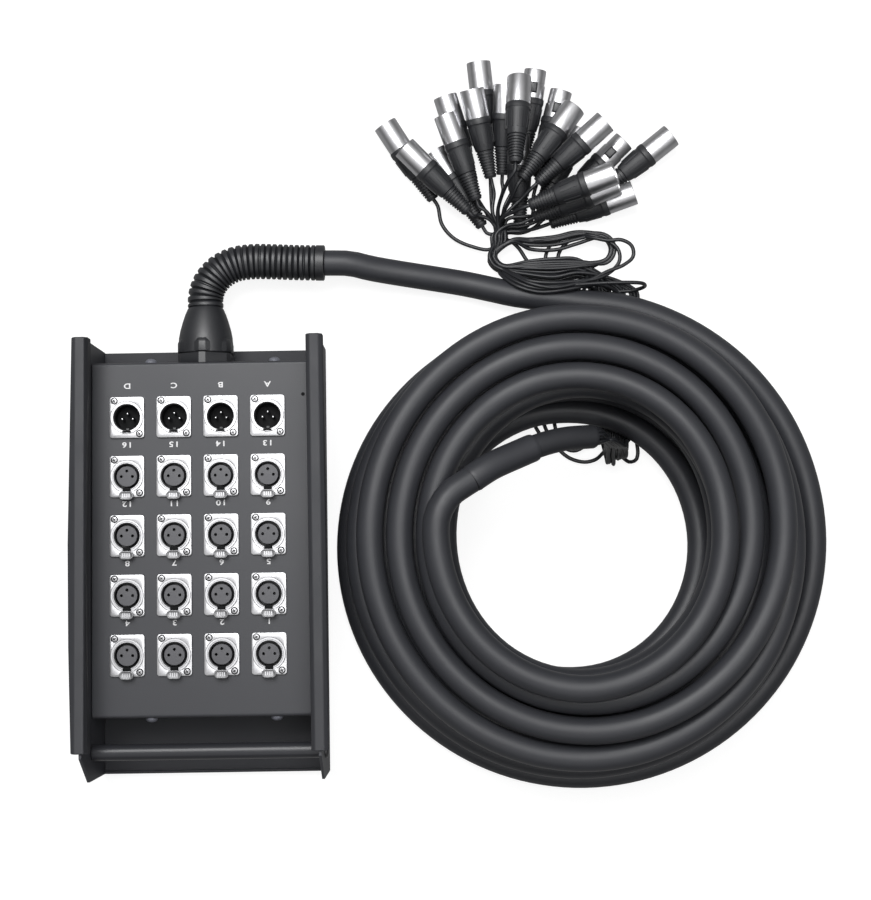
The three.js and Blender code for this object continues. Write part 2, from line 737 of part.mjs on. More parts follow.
function hankLine() {
  const points = hank_entry.map(point);
  const climb = hank_loops + climb_turns;
  for (let step = 0; step <= (climb + hank_loops - climb_turns / 2) * hank_steps; step += 1) {
    const turn = step / hank_steps;
    if (turn <= hank_loops) points.push(hankPoint(turn, hank_loops - turn, 0, 0));
    else if (turn < climb) {
      const share = (turn - hank_loops) / climb_turns;
      points.push(hankPoint(turn, 0, share, -hank_bulge * Math.sin(Math.PI * share)));
    } else points.push(hankPoint(turn, turn - climb, 1, 0));
  }
  hank_leave.forEach((spot) => points.push(point(spot)));
  return points;
}

function tailHank() {
  return tube(hankLine(), cordSection(tail_radius, tail_radius));
}

// Plugs
const plugEnds = (route) => [point(route[route.length - 1]), point(route[route.length - 2])];

// Plug body, its tip first.
function plugBody(route) {
  const [tip, boot] = plugEnds(route);
  const away = boot.clone().sub(tip).normalize();
  const end = tip.clone().addScaledVector(away, plug_length);
  return turned(tip, end, plug_radii, plug_shares, plug_sides);
}

// A tail from the clasp into its plug, or to just before a separate plug.
function tailTube(route, stop) {
  const [tip, boot] = plugEnds(route);
  const away = boot.clone().sub(tip).normalize();
  const end = tip.clone().addScaledVector(away, plug_length + stop);
  const before = end.clone().addScaledVector(away, 4 * tail_radius);
  const start = point(clasp_route[2]).lerp(point(clasp_route[1]), 0.3);
  const via = route.slice(0, route.length - 2).map(point);
  const line = new THREE.CatmullRomCurve3([start, ...via, before], false, "centripetal");
  const steps = Math.max(3, Math.round(line.getLength() / (8 * tail_radius)));
  return tube([...line.getSpacedPoints(steps), end], ring(tail_radius, tail_sides));
}

function tailFan() {
  const clasp = tube(clasp_route.map(point), ring(clasp_radius, neck_sides));
  const male = male_routes.map((route) => plugBody(route).add(tailTube(route, -tail_radius)));
  const female = female_routes.map((route) => tailTube(route, gap));
  return joined([clasp, ...male, ...female]);
}

// Block set into a plug from above, between two distances from its axis.
function plugBlock(route, width, from, to, low, high) {
  const [tip, boot] = plugEnds(route);
  const away = boot.clone().sub(tip).normalize();
  const side = new THREE.Vector3().crossVectors(away, up).normalize();
  const rise = new THREE.Vector3().crossVectors(side, away);
  const box = new THREE.BoxGeometry(width, to - from, high - low);
  box.translate(0, (from + to) / 2, (low + high) / 2);
  box.applyMatrix4(new THREE.Matrix4().makeBasis(side, away, rise));
  box.translate(tip.x, tip.y, tip.z);
  return solidOf(box);
}

function femalePlug(route) {
  const pocket = plugBlock(route, button_width + 2 * gap, button_from - gap,
    button_from + button_length + gap, button_pocket, button_top + overrun);
  return plugBody(route).subtract(pocket);
}

// Sprung release button of a female plug; it is pushed towards the plug's axis.
function plugButton(route) {
  return plugBlock(route, button_width, button_from, button_from + button_length,
    button_foot, button_top);
}

// Least gap of a wound tube to itself, measured on its points
function leastGap(points, radius, apart) {
  let least = Infinity;
  const travelled = [0];
  for (let i = 1; i < points.length; i += 1) {
    travelled.push(travelled[i - 1] + points[i].distanceTo(points[i - 1]));
  }
  const nearest = new THREE.Vector3();
  for (let i = 0; i < points.length; i += 1) {
    for (let j = 1; j < points.length; j += 1) {
      if (Math.abs(travelled[i] - travelled[j]) < apart) continue;
      if (Math.abs(travelled[i] - travelled[j - 1]) < apart) continue;
      new THREE.Line3(points[j - 1], points[j]).closestPointToPoint(points[i], true, nearest);
      least = Math.min(least, nearest.distanceTo(points[i]));
    }
  }
  return least - 2 * radius;
}

const two = (number) => String(number).padStart(2, "0");

function stageBoxSnake() {
  const group = new THREE.Group();
  group.name = "stage_box_snake";
  const add = (name, solid, finish) => group.add(piece(name, solid, finish));
  add("base_pan", basePan(), "coat");
  add("left_side_frame", sideFrame(-1), "coat");
  add("right_side_frame", sideFrame(1), "coat");
  add("left_edge_trim",
    edgeTrim(-1, left_shift_gland, left_shift_middle, left_shift_handle), "foam");
  add("right_edge_trim",
    edgeTrim(1, right_shift_gland, right_shift_middle, right_shift_handle), "foam");
  add("carry_bar", carryBar(), "bar");
  add("front_panel", frontPanel(), "panel");
  for (let column = 0; column < columns; column += 1) {
    const [x, y] = gridPlace(0, column);
    add(`male_connector_${"dcba"[column]}`, maleConnector(x, y), "nickel");
  }
  for (let row = 1; row < rows; row += 1) {
    for (let column = 0; column < columns; column += 1) {
      const [x, y] = gridPlace(row, column);
      const number = two((rows - row) * columns - column);
      add(`female_connector_${number}`, femaleConnector(x, y), "nickel");
      add(`latch_tab_${number}`, latchTab(x, y), "nickel");
    }
  }
  add("gland_body", glandBody(), "plastic");
  add("gland_nut", glandNut(), "plastic");
  add("flex_sleeve", flexSleeve(), "plastic");
  add("main_cable_lead", cableLead(), "rubber");
  add("main_cable_coil", cableCoil(), "rubber");
  add("breakout_boot", breakoutBoot(), "plastic");
  add("tail_ribbon", tailRibbon(), "tail");
  add("tail_hank", tailHank(), "tail");
  add("tail_fan", tailFan(), "tail");
  female_routes.forEach((route, i) => {
    add(`female_plug_${two(i + 1)}`, femalePlug(route), "nickel");
    add(`plug_button_${two(i + 1)}`, plugButton(route), "plastic");
  });
  console.log("coil's least gap to itself", leastGap(coilLine(), cable_radius, 6 * cable_radius));
  console.log("hank's least gap to itself", leastGap(hankLine(), tail_radius, 6 * tail_radius));
  return group;
}

export default stageBoxSnake();
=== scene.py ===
import math

import bpy
from mathutils import Matrix, Vector


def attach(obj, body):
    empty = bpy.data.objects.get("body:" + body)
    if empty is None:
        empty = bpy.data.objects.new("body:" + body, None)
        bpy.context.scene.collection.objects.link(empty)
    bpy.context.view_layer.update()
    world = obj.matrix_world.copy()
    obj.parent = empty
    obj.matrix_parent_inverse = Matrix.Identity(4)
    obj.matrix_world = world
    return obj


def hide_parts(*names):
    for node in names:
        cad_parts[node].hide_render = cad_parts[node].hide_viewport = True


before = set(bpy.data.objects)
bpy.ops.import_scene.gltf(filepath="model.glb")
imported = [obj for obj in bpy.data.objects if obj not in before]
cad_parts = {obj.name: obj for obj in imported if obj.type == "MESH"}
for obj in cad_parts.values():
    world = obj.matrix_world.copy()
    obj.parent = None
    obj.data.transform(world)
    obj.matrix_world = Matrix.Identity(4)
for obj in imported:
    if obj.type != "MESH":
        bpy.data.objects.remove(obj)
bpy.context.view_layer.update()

bl_info = {
    "name": "Stage box snake",
    "version": (1, 0, 0),
    "blender": (4, 5, 0),
    "location": "View3D > Sidebar > Snake",
    "description": "Builds the looks of a stage box with a long multicore cable",
    "category": "Object",
}

BODY = "snake"

# The photo's camera, solved from the box: lens in sensor widths, metres, degrees.
SENSOR_WIDTH = 36
FOCAL_SHARE = 1700 / 871
CAMERA_PLACE = (0.1805, -0.0226, 1.3296)
CAMERA_TURN = (4.522, 0.383, -0.896)
# Area lamps: name, place, side in metres, watts. The first brightens the gland's end.
LAMPS = (
    ("left", (-0.15, 0.85, 1.8), 1.0, 31.0),
    ("right", (0.55, 0.1, 1.9), 1.0, 11.0),
    ("near", (0.2, -1.4, 1.4), 0.8, 1.5),
)
LAMP_AIM = Vector((0.18, 0.05, 0.0))
FLOOR_SIDE, FLOOR_PLACE = 14, (0.2, 0, -0.0004)

# Places on the box, in metres, as the CAD has them.
PANEL_TOP = 0.0535
FLANGE_TOP = 0.0558
GRID_X = -0.00574
GRID_Y = 0.0174
COLUMN_STEP = 0.03535
ROW_STEP = 0.04462
COLUMNS = 4
ROWS = 5
GLAND_WALL = 0.1485
HANDLE_WALL = -0.1185
GLAND_X = -0.0028
GLAND_Z = 0.027
BAR_Y = -0.1437
BAR_Z = 0.05
PANEL_HOLE = (0.0741, 0.1225)
WALL_SCREW_X = (("left", -0.042), ("right", 0.052))
WALL_SCREW_Z = 0.046
# Lettering: its place above a connector's middle, its thickness, how much bolder, its scale.
LABEL_RISE, LABEL_THICKNESS, LABEL_BOLDER = 0.0242, 0.00004, 0.00012
LABEL_SCALE = (1.25, 0.98, 1)

# Places on one connector or plug, from its own middle.
FLANGE_SCREWS = ((-0.0094, 0.0125), (0.0095, -0.0124))
SOCKET_HOLES = ((0, 0.0042), (-0.0042, 0), (0.0042, 0))
INLET_PINS = ((0, 0.0031), (-0.004, -0.0009), (0.004, -0.0009))
PLUG_CONTACTS = ((0, 0.0036), (-0.0038, -0.0018), (0.0038, -0.0018))

# The main cable's route in millimetres: the lead, the coil by its rule, the way out.
SLEEVE_ROUTE = [
    (-2.8, 193.3, 27), (-2.6, 203, 27), (1, 213, 27), (9, 222, 26.6), (20, 227.6, 26.2),
    (33, 229.6, 25.8), (47, 229.5, 25.4), (65, 228.6, 25.1), (89.5, 227.8, 25),
]
LEAD_ROUTE = [
    (89.8, 227.79, 25), (109.3, 227.1, 24.6), (125, 223.8, 21), (146, 220.4, 17.2),
    (171, 216.5, 14.4), (198, 212, 12), (219, 207, 13), (237.9, 202.4, 14.1),
]
# The coil's middle, and how it moves with each loop outwards.
COIL_X, COIL_Y = 276, 7.5
COIL_X_STEP, COIL_Y_STEP = 1, 0.15
# The innermost loop, flattened at its left and right, and the step to the next one.
INNER_RADIUS, INNER_FLAT = 103.3, 3.4
LOOP_STEP, LOOP_STEP_WIDE = 21.3, 1.4
FIRST_HEIGHT, LAYER_RISE = 9.9, 20.4
# How each layer lies off the one below it.
LAYER_X, LAYER_Y = 0.8, 1.9
LAYER_WIDER, LAYER_FLAT = 2.4, 1
# Half a turn climbs to the next layer, pushed sideways so that it clears its neighbours.
CLIMB_TURNS = 0.5
CLIMB_BULGE_IN, CLIMB_BULGE_FIRST, CLIMB_BULGE_OUT = 3.9, 1.3, 4.8
# The loop, counted from the inside, where each layer starts; the next entry is its end.
LAYER_STARTS = (4, 0, 2.75, 0, 2.25, 0)
TOP_TURNS = 0.25
# The coil rises over the band of tails: how much, and where, in degrees.
LIFT, LIFT_MIDDLE, LIFT_HALF, LIFT_FADE = 4.2, 77, 30, 36
COIL_LEAVE = [(175.5, 29.4, 112.2), (183.8, 42, 110.8), (199, 52.4, 107.2)]
BOOT_ROUTE = [
    (199.36, 52.65, 107.11), (206.5, 57.5, 105.4), (214.9, 62.6, 102.4), (232.4, 70.6, 95),
    (250.9, 78.3, 86.8), (269.4, 83.2, 78), (291.8, 85.6, 67),
]

# The flat band of tails under the coil: its left and right side at four places.
BAND_Y = (60, 88, 140, 199)
BAND_LEFT = (286, 255, 270, 283)
BAND_RIGHT = (316, 333, 335, 336)
# Height of a tail's middle on the floor, and how far a tail runs into its plug.
FLOOR_TAIL = 1.7
PLUG_RUN_IN = 25
# Height from one tail to the next one over it, and the turn that spreads a bundle evenly.
TAIL_PITCH = 3.1
GOLDEN_ANGLE = 2.39996
# Radii of the bundles at the sleeve's end and above the hank, and two places of the latter.
NECK_BUNDLE, TOP_BUNDLE = 6.6, 6.0
BUNDLE_PLACES = ((226, 244.5, 8.6), (226.5, 251, 9))
# Middles of the hank's round ends.
HANK_LEFT, HANK_RIGHT = (232, 235), (303, 238)
# Distances between the points of the cords, and points in a turn of the coil.
CABLE_STEP, TAIL_STEP = 8.0, 2.4
COIL_STEPS = 24

# Three tails sweep left under the sleeve, and one sweeps right, before the coil's edge.
LOOSE_NECKS = [
    [(298, 87.5, 60), (299.8, 89.4, 40), (299.4, 90, 18), (294, 89.5, 8), (284, 87.6, 4),
     (270.7, 85.8, 3), (260.6, 88.2, 2), (254.4, 95.1, 1.7), (250.8, 105.6, 1.7)],
    [(300, 84, 58), (303.5, 80.5, 42), (305, 79.5, 22), (303.6, 77.6, 10), (298.5, 73, 4.5),
     (289.9, 71.1, 3), (278.2, 74.4, 2.4), (269.4, 82, 2), (261.4, 94.5, 1.7),
     (258.6, 105.3, 1.7)],
    [(299, 85, 59), (302, 84, 42), (302.4, 85, 26), (300, 86, 14), (293.6, 85.2, 8),
     (282.4, 79.9, 5), (274.6, 82.2, 3.4), (270.2, 89, 2.4), (267.8, 97, 1.9),
     (266.9, 104.8, 1.7)],
]
SIDE_NECK = [
    (302, 83, 60), (309, 80, 46), (311, 79.4, 28), (313.5, 77.5, 14), (319.3, 73.9, 6.5),
    (324.6, 70.6, 3.4), (329.8, 72.1, 2.2), (331.6, 77.4, 1.7), (330.8, 88, 1.7),
    (331.4, 104, 1.7),
]
# Tails without a turn in the hank that lie over the main cable, by their index.
OVER_CABLE = {
    4: [(300, 206, 5), (294, 209, 12), (281, 207.5, 21.5), (264, 204.5, 25.8),
        (248, 206.5, 25.8), (236, 212.5, 21.5), (229, 218.5, 15)],
    10: [(316, 204.5, 3), (330, 205.5, 5.2), (339, 207.5, 11), (336.5, 208.6, 20),
         (322, 208.8, 24), (300, 208.4, 24.4), (276, 207, 25.5), (256, 207, 26),
         (240, 212, 22), (230, 219, 15)],
    16: [(318, 205, 4), (308, 208.5, 12), (296, 208, 20), (276, 203.6, 25.8),
         (256, 202, 27), (240, 206.5, 26), (230, 214, 20), (225.5, 221, 13)],
}
# Two turns of the hank run out to the right and come back over the rest, by their index.
STRAY_ENDS = {
    9: [(300, 246, 15), (311, 243.4, 17), (321, 243.6, 18), (329, 238.8, 18), (330, 230.4, 18),
        (322.5, 223.6, 19), (310.2, 218.7, 20), (296, 212, 22), (281, 207.5, 26),
        (266.2, 205, 28.6), (249.1, 208.4, 28), (238, 215, 22)],
    15: [(299, 248, 14), (311, 243.5, 15), (318.6, 236.4, 16), (319.4, 227.4, 17),
         (313.6, 219.6, 18), (301.6, 213, 21), (284.2, 210.4, 24), (264.6, 209, 27.4),
         (248, 211, 26.5), (238, 217, 20)],
}
# Three tails cross the hank's middle, under it, by their index.
CROSSING = {
    6: [(300, 207, 2.4), (284, 213, 1.8), (269, 221, 1.7), (262.6, 231.5, 1.7),
        (266.4, 243.2, 1.8), (276.5, 250.4, 3.5), (291, 251.6, 7)],
    12: [(308, 208, 2.4), (294, 215, 1.8), (278.5, 223, 1.7), (272.4, 233, 1.7),
         (277.5, 243.4, 1.8), (288, 249.4, 4), (297, 250, 8)],
    2: [(285, 207, 2.4), (272, 213, 1.8), (257, 221.5, 1.7), (247.8, 231.7, 1.7),
        (241, 242, 2.4), (233, 247.5, 5)],
}
# Tails that go once round the hank, and how far out each one lies on its far side.
LOOPED = (1, 3, 7, 9, 13, 15, 19)
UPPER_PLACES = (0.95, 0.0, 1.1, 0.8, 0.4, 1.0, 0.85)

# Each tail's way from the hank: points it passes, its plug's boot end, its tip.
MALE_ROUTES = [
    [(219.4, 240, 8), (204, 242.8, 6), (190, 250, 5), (181, 261.5, 4), (175.5, 280, 5),
     (137.5, 339.5, 14.5)],
    [(219, 262, 14), (208, 265, 17), (201.7, 267.5, 21.5), (152.8, 316.6, 31)],
    [(218, 266, 9), (208.5, 284, 4.2), (205.7, 295, 5), (185.2, 361, 14.7)],
    [(221, 268, 14), (222.5, 283, 13), (220.2, 295.6, 13), (206, 361.8, 30.7)],
    [(221, 272, 5), (220, 300, 4.8), (218.8, 319.2, 4.8), (212, 388, 14.7)],
    [(225.5, 270, 8), (230, 288, 5.5), (229.5, 299.3, 7), (232.8, 367.3, 23)],
    [(225, 268, 21), (233, 286, 46), (238.2, 298.5, 49.3), (243, 367.6, 39.5)],
    [(229, 266, 15), (236.5, 278, 28), (243.6, 289.8, 33), (285.4, 346, 30.5)],
    [(232, 262, 13), (247, 264, 15), (258, 270.5, 12.2), (289.7, 332.8, 15)],
    [(230, 264, 18), (243, 276, 22), (256, 287.6, 27), (308.8, 332, 39.3)],
    [(228, 261, 22), (238, 264.5, 32), (248.9, 267.7, 38), (313.6, 287.8, 55.8)],
    [(233, 256.4, 10), (242, 256.6, 10.7), (254, 260.5, 9.5), (266, 267, 11),
     (278, 272.5, 12.5), (292, 278.5, 8), (307.4, 285, 5), (362.6, 326.8, 15)],
    [(233, 253.2, 10), (242, 253.2, 10.7), (252, 255.4, 6.5), (266.5, 260.2, 5),
     (332, 280.8, 18.4)],
    [(219.5, 252, 6.5), (213, 258.6, 6.4), (175.8, 317.3, 13.4)],
    [(232, 257, 15), (243, 258, 18), (253.3, 262, 19.2), (317.3, 284.2, 36.6)],
    [(220, 263, 16), (214.5, 269, 19), (208.4, 276.8, 20.3), (185.3, 342, 30)],
]
FEMALE_ROUTES = [
    [(230, 271, 5), (240, 292, 4), (246.4, 312.5, 5), (257, 381, 14.7)],
    [(233, 255.6, 7.2), (243, 255.2, 7.6), (250.6, 260.6, 4.6), (253.4, 270, 2.6),
     (254, 283, 2.6), (258, 297.2, 5), (277, 363.8, 15)],
    [(233, 253, 6.2), (243, 252.8, 5.6), (253, 256.8, 3), (263, 265.5, 3), (275, 275.5, 5),
     (325.4, 322.7, 15.7)],
    [(231, 255, 4), (238, 253.6, 3), (242.6, 260, 5), (242.2, 326, 27.6)],
]
TAILS = len(MALE_ROUTES) + len(FEMALE_ROUTES)


def linear(hex_colour):
    """sRGB hex text as linear red, green, blue."""
    values = [int(hex_colour[i:i + 2], 16) / 255 for i in (1, 3, 5)]
    return tuple(v / 12.92 if v <= 0.04045 else ((v + 0.055) / 1.055) ** 2.4 for v in values)


def length_setting(name, description, default):
    return bpy.props.FloatProperty(
        name=name, description=description, default=default, unit="LENGTH", subtype="DISTANCE")


def colour_setting(name, description, hex_colour):
    return bpy.props.FloatVectorProperty(
        name=name, description=description, default=linear(hex_colour), size=3,
        subtype="COLOR", min=0, max=1)


class SnakeSizes(bpy.types.PropertyGroup):
    """Sizes of the finer pieces."""
    cable: length_setting("Cable diameter", "Outside diameter of the main cable", 0.0198)
    tail: length_setting("Tail diameter", "Outside diameter of a thin tail", 0.003)
    plug: length_setting("Plug length", "Length of a cable plug, tip to boot end", 0.07)
    label: length_setting("Label height", "Height of a number on the panel", 0.0058)
    flange_width: length_setting("Flange width", "Width of a connector flange", 0.026)
    flange_length: length_setting("Flange length", "Length of a connector flange", 0.031)


class SnakeColours(bpy.types.PropertyGroup):
    """Colours of the finishes."""
    coat: colour_setting("Box coat", "Powder coat of the frames and the pan", "#3c3d42")
    panel: colour_setting("Panel coat", "Powder coat of the connector panel", "#35363a")
    trim: colour_setting("Edge trim", "Rubber strips on the frames", "#2d2e32")
    nickel: colour_setting("Nickel", "Plated connector shells", "#b4b4b6")
    insert: colour_setting("Insert", "Grey inserts of the sockets", "#4d4d51")
    black: colour_setting("Black plastic", "Gland, boots and plug bodies", "#232427")
    jacket: colour_setting("Cable jacket", "Rubber jacket of the main cable", "#313236")
    tail: colour_setting("Tail jacket", "Jacket of the thin tails", "#222326")
    paint: colour_setting("Lettering", "White numbers and letters", "#e9e9ea")
    floor: colour_setting("Floor", "Pale floor under the object", "#f7f7f7")


def node(tree, kind, settings=(), links=()):
    """Adds a node, sets its sockets and fields, and links others into it."""
    made = tree.nodes.new(kind)
    for key, value in dict(settings).items():
        if isinstance(key, int) or key in made.inputs:
            made.inputs[key].default_value = value
        else:
            setattr(made, key, value)
    for key, source in dict(links).items():
        tree.links.new(source, made.inputs[key])
    return made


def tinted(colour, share):
    return tuple(min(1, c * share) for c in colour)


def noise(tree, place, scale, detail, roughness=0.5):
    """Cloudy pattern with so many cells a metre."""
    return node(tree, "ShaderNodeTexNoise",
                {"Scale": scale, "Detail": detail, "Roughness": roughness},
                {"Vector": place}).outputs["Fac"]


def surface(name, colour, tones, cloud, grain=None, roughness=0.5, spread=(1, 1), bump=(0, 0),
            constants=(), marked=False):
    """Material whose tone and roughness wander with a cloud and whose skin has a grain.

    tones and spread are shares; a marked one's roughness follows the grain."""
    material = bpy.data.materials.new(name)
    material.use_nodes = True
    tree = material.node_tree
    shader = tree.nodes["Principled BSDF"]
    place = node(tree, "ShaderNodeTexCoord").outputs["Object"]
    wander = noise(tree, place, *cloud)
    dark, light = (tinted(colour, share) + (1,) for share in tones)
    # A mix node's colour sockets are 6 and 7, and its colour output is 2.
    tone = node(tree, "ShaderNodeMix", {"data_type": "RGBA", 6: dark, 7: light}, {0: wander})
    tree.links.new(tone.outputs[2], shader.inputs["Base Color"])
    if grain:
        skin = noise(tree, place, *grain)
        rough = node(tree, "ShaderNodeMapRange",
                     {"To Min": roughness * spread[0], "To Max": roughness * spread[1]},
                     {"Value": skin if marked else wander})
        tree.links.new(rough.outputs["Result"], shader.inputs["Roughness"])
        bumps = node(tree, "ShaderNodeBump", {"Strength": bump[0], "Distance": bump[1]},
                     {"Height": skin})
        tree.links.new(bumps.outputs["Normal"], shader.inputs["Normal"])
    for socket, value in dict(constants).items():
        shader.inputs[socket].default_value = value
    return material


def powder_coat(name, colour, roughness=0.5, gloss=0.38):
    """Polyester powder coat on steel: matt, with a fine pebbled skin."""
    # The coat's pebbles are about 0.5 mm apart, drawn at 0.8 mm so that they show.
    return surface(name, colour, (0.9, 1.1), (14, 3), (1250, 2), roughness, (0.85, 1.15),
                   (0.25, 0.0002), {"IOR": 1.5, "Specular IOR Level": gloss})


def plated_nickel(name, colour, roughness):
    """Nickel plate on a zinc casting: bright, its tone wandering in soft patches, with handling
    marks.
    """
    # The tone's patches are about 11 mm wide, marks about 3 mm long.
    return surface(name, colour, (0.72, 1.06), (90, 2), (320, 5, 0.7), roughness, (0.75, 1.35),
                   (0.12, 0.0001), {"Metallic": 1}, marked=True)


def moulded_plastic(name, colour, roughness, grain_mm=0.6, gloss=0.5):
    """Moulded plastic or rubber: matt, faintly textured by its mould."""
    return surface(name, colour, (0.85, 1.15), (40, 2), (1000 / grain_mm, 2), roughness,
                   (0.85, 1.2), (0.2, 0.0001), {"IOR": 1.53, "Specular IOR Level": gloss})


def cable_rubber(name, colour, roughness):
    """Extruded jacket: satin, with a dusty bloom here and there."""
    # Talc bloom lies in patches of about 30 mm; the skin's grain is 0.7 mm.
    return surface(name, colour, (0.86, 1.14), (32, 4, 0.6), (1400, 2), roughness,
                   (0.85, 1.25), (0.15, 0.00015), {"IOR": 1.52, "Specular IOR Level": 0.36})


def screen_paint(name, colour):
    """Screen printed enamel: flat white, slightly uneven at its edges."""
    return surface(name, colour, (0.9, 1), (500, 2), constants={"Roughness": 0.55})


# Each finish: its kind, its material's name, its colour and a share of it, and then what
# its kind takes.
FINISHES = {
    "coat": (powder_coat, "dark_grey_powder_coat", "coat", 1),
    "panel": (powder_coat, "panel_powder_coat", "panel", 1, 0.43),
    # The pan's coat is darkened to 0.55 of the frames' coat as painted shade of the deep well at
    # the handle end.
    "pan": (powder_coat, "pan_powder_coat", "coat", 0.55, 0.6, 0.3),
    "bar": (powder_coat, "satin_bar_coat", "coat", 0.6, 0.31),
    "dome": (powder_coat, "painted_screw_steel", "coat", 3.0),
    "trim": (moulded_plastic, "edge_strip_rubber", "trim", 1, 0.62, 0.9),
    "nickel": (plated_nickel, "nickel_plated_zinc", "nickel", 1, 0.4),
    "shell": (plated_nickel, "satin_nickel_shell", "nickel", 1.3, 0.33),
    "pin": (plated_nickel, "silver_plated_pin", "nickel", 1, 0.16),
    "screw": (plated_nickel, "zinc_plated_steel", "nickel", 0.8, 0.3),
    "bolt": (plated_nickel, "blackened_steel", "nickel", 0.22, 0.36),
    "latch": (plated_nickel, "cast_zinc_latch", "nickel", 0.42, 0.45),
    # The well's black plastic is darkened to a quarter as painted shade, for inlet floors, key
    # notches, screw recesses, the panel hole and the tab's stem and leg.
    "well": (moulded_plastic, "black_inlet_floor", "black", 0.25, 0.6, 0.6, 0.1),
    "insert": (moulded_plastic, "grey_insert_plastic", "insert", 1, 0.5),
    "black": (moulded_plastic, "black_polyamide", "black", 1, 0.42),
    "boot": (moulded_plastic, "soft_boot_rubber", "black", 1, 0.5, 0.8),
    "jacket": (cable_rubber, "cable_jacket_rubber", "jacket", 1, 0.44),
    "tail": (cable_rubber, "tail_jacket_vinyl", "tail", 1, 0.36),
    "sleeve": (cable_rubber, "heat_shrink_sleeve", "jacket", 0.75, 0.5),
    "paint": (screen_paint, "white_screen_paint", "paint", 1),
}
MATERIALS = {}


def material_for(key):
    """Each finish is made once and shared by its pieces."""
    if key not in MATERIALS:
        maker, name, colour, share, *rest = FINISHES[key]
        tone = tinted(getattr(bpy.context.scene.snake_colours, colour), share)
        MATERIALS[key] = maker(name, tone, *rest)
    return MATERIALS[key]


def fresh():
    """Leaves edit mode and lets go of everything."""
    if bpy.context.mode != "OBJECT":
        bpy.ops.object.mode_set(mode="OBJECT")
    bpy.ops.object.select_all(action="DESELECT")


def hold(*pieces):
    """Selects pieces, the first one active."""
    fresh()
    for piece in pieces:
        piece.select_set(True)
    bpy.context.view_layer.objects.active = pieces[0]


def named(piece, name):
    piece.name = piece.data.name = name
    return piece


def edit_all(piece):
    """Opens a piece's mesh with all of it selected."""
    hold(piece)
    bpy.ops.object.mode_set(mode="EDIT")
    bpy.ops.mesh.select_all(action="SELECT")


def outward(piece):
    """Turns all faces outwards."""
    edit_all(piece)
    bpy.ops.mesh.normals_make_consistent(inside=False)
    fresh()
    return piece


def settle(piece, name, material=None):
    """Names a piece, gives it its finish and puts its place into its mesh."""
    hold(piece)
    bpy.ops.object.transform_apply(location=True, rotation=True, scale=True)
    if material:
        piece.data.materials.clear()
        piece.data.materials.append(material_for(material))
    return named(piece, name)


def turned(name, rings, sides, material):
    """Closed round body about Z, grown ring by ring from radius and height pairs."""
    fresh()
    radius, height = rings[0]
    bpy.ops.mesh.primitive_circle_add(
        vertices=sides, radius=radius, fill_type="NGON", location=(0, 0, height))
    piece = settle(bpy.context.object, name, material)
    edit_all(piece)
    for (near, low), (far, high) in zip(rings, rings[1:]):
        bpy.ops.mesh.extrude_region()
        bpy.ops.transform.translate(value=(0, 0, high - low))
        bpy.ops.transform.resize(
            value=(far / near, far / near, 1), center_override=(0, 0, high))
    return outward(piece)


def slab(name, low, high, material):
    """Box between two corners, to be shaped further."""
    fresh()
    middle = [(a + b) / 2 for a, b in zip(low, high)]
    bpy.ops.mesh.primitive_cube_add(size=1, location=middle)
    piece = bpy.context.object
    piece.scale = [b - a for a, b in zip(low, high)]
    return settle(piece, name, material)


def round_edges(piece, radius, segments, chosen):
    """Bevels the edges that the test picks by their two ends."""
    hold(piece)
    bpy.ops.object.mode_set(mode="EDIT")
    bpy.ops.mesh.select_all(action="DESELECT")
    bpy.ops.mesh.select_mode(type="EDGE")
    bpy.ops.object.mode_set(mode="OBJECT")
    corners = piece.data.vertices
    for edge in piece.data.edges:
        edge.select = chosen(corners[edge.vertices[0]].co, corners[edge.vertices[1]].co)
    bpy.ops.object.mode_set(mode="EDIT")
    bpy.ops.mesh.bevel(offset=radius, segments=segments, affect="EDGES")
    fresh()
    return piece


def upright(a, b):
    return abs(a.x - b.x) < 1e-6 and abs(a.y - b.y) < 1e-6


def modify(piece, kind, **settings):
    """Adds a modifier with its settings and applies it."""
    hold(piece)
    made = piece.modifiers.new(kind.lower(), kind)
    for key, value in settings.items():
        setattr(made, key, value)
    bpy.ops.object.modifier_apply(modifier=made.name)
    return piece


def soften(piece, width, segments=2, angle=35):
    """Small bevel on all sharp edges, then smooth shading."""
    modify(piece, "BEVEL", width=width, segments=segments, limit_method="ANGLE",
           angle_limit=math.radians(angle), harden_normals=False)
    return smooth(piece, angle)


def smooth(piece, angle=35):
    hold(piece)
    bpy.ops.object.shade_smooth_by_angle(angle=math.radians(angle))
    return piece


def moved(piece, x, y, z=0.0):
    """Shifts a piece's mesh; its object stays at the origin."""
    piece.data.transform(Matrix.Translation((x, y, z)))
    return piece


def spun(piece, angle, axis):
    """Turns a piece's mesh about an axis through the origin."""
    piece.data.transform(Matrix.Rotation(angle, 4, axis))
    return piece


def carve(piece, *cutters):
    """Cuts the cutters out of a piece and removes them."""
    for cutter in cutters:
        modify(piece, "BOOLEAN", operation="DIFFERENCE", object=cutter, solver="EXACT")
        bpy.data.objects.remove(cutter)
    return piece


def drill(piece, radius, low, high, sides, x=0, y=0):
    """Cuts a round hole between two heights."""
    hole = turned("hole", [(radius, low), (radius, high)], sides, "black")
    return carve(piece, moved(hole, x, y))


def merged(name, *pieces):
    """Joins pieces into the first one."""
    hold(*pieces)
    bpy.ops.object.join()
    return named(pieces[0], name)


def copied(source, name, matrix):
    """A copy with its own mesh, placed by a matrix put into that mesh."""
    piece = source.copy()
    piece.data = source.data.copy()
    piece.data.transform(matrix)
    bpy.context.scene.collection.objects.link(piece)
    return named(piece, name)


def discard(*pieces):
    for piece in pieces:
        bpy.data.objects.remove(piece)


def rides(piece, slot, *nodes, body=BODY):
    """Puts a piece on a body, in the place of CAD nodes, which it hides."""
    if nodes:
        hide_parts(*nodes)
    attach(piece, body)
    return piece


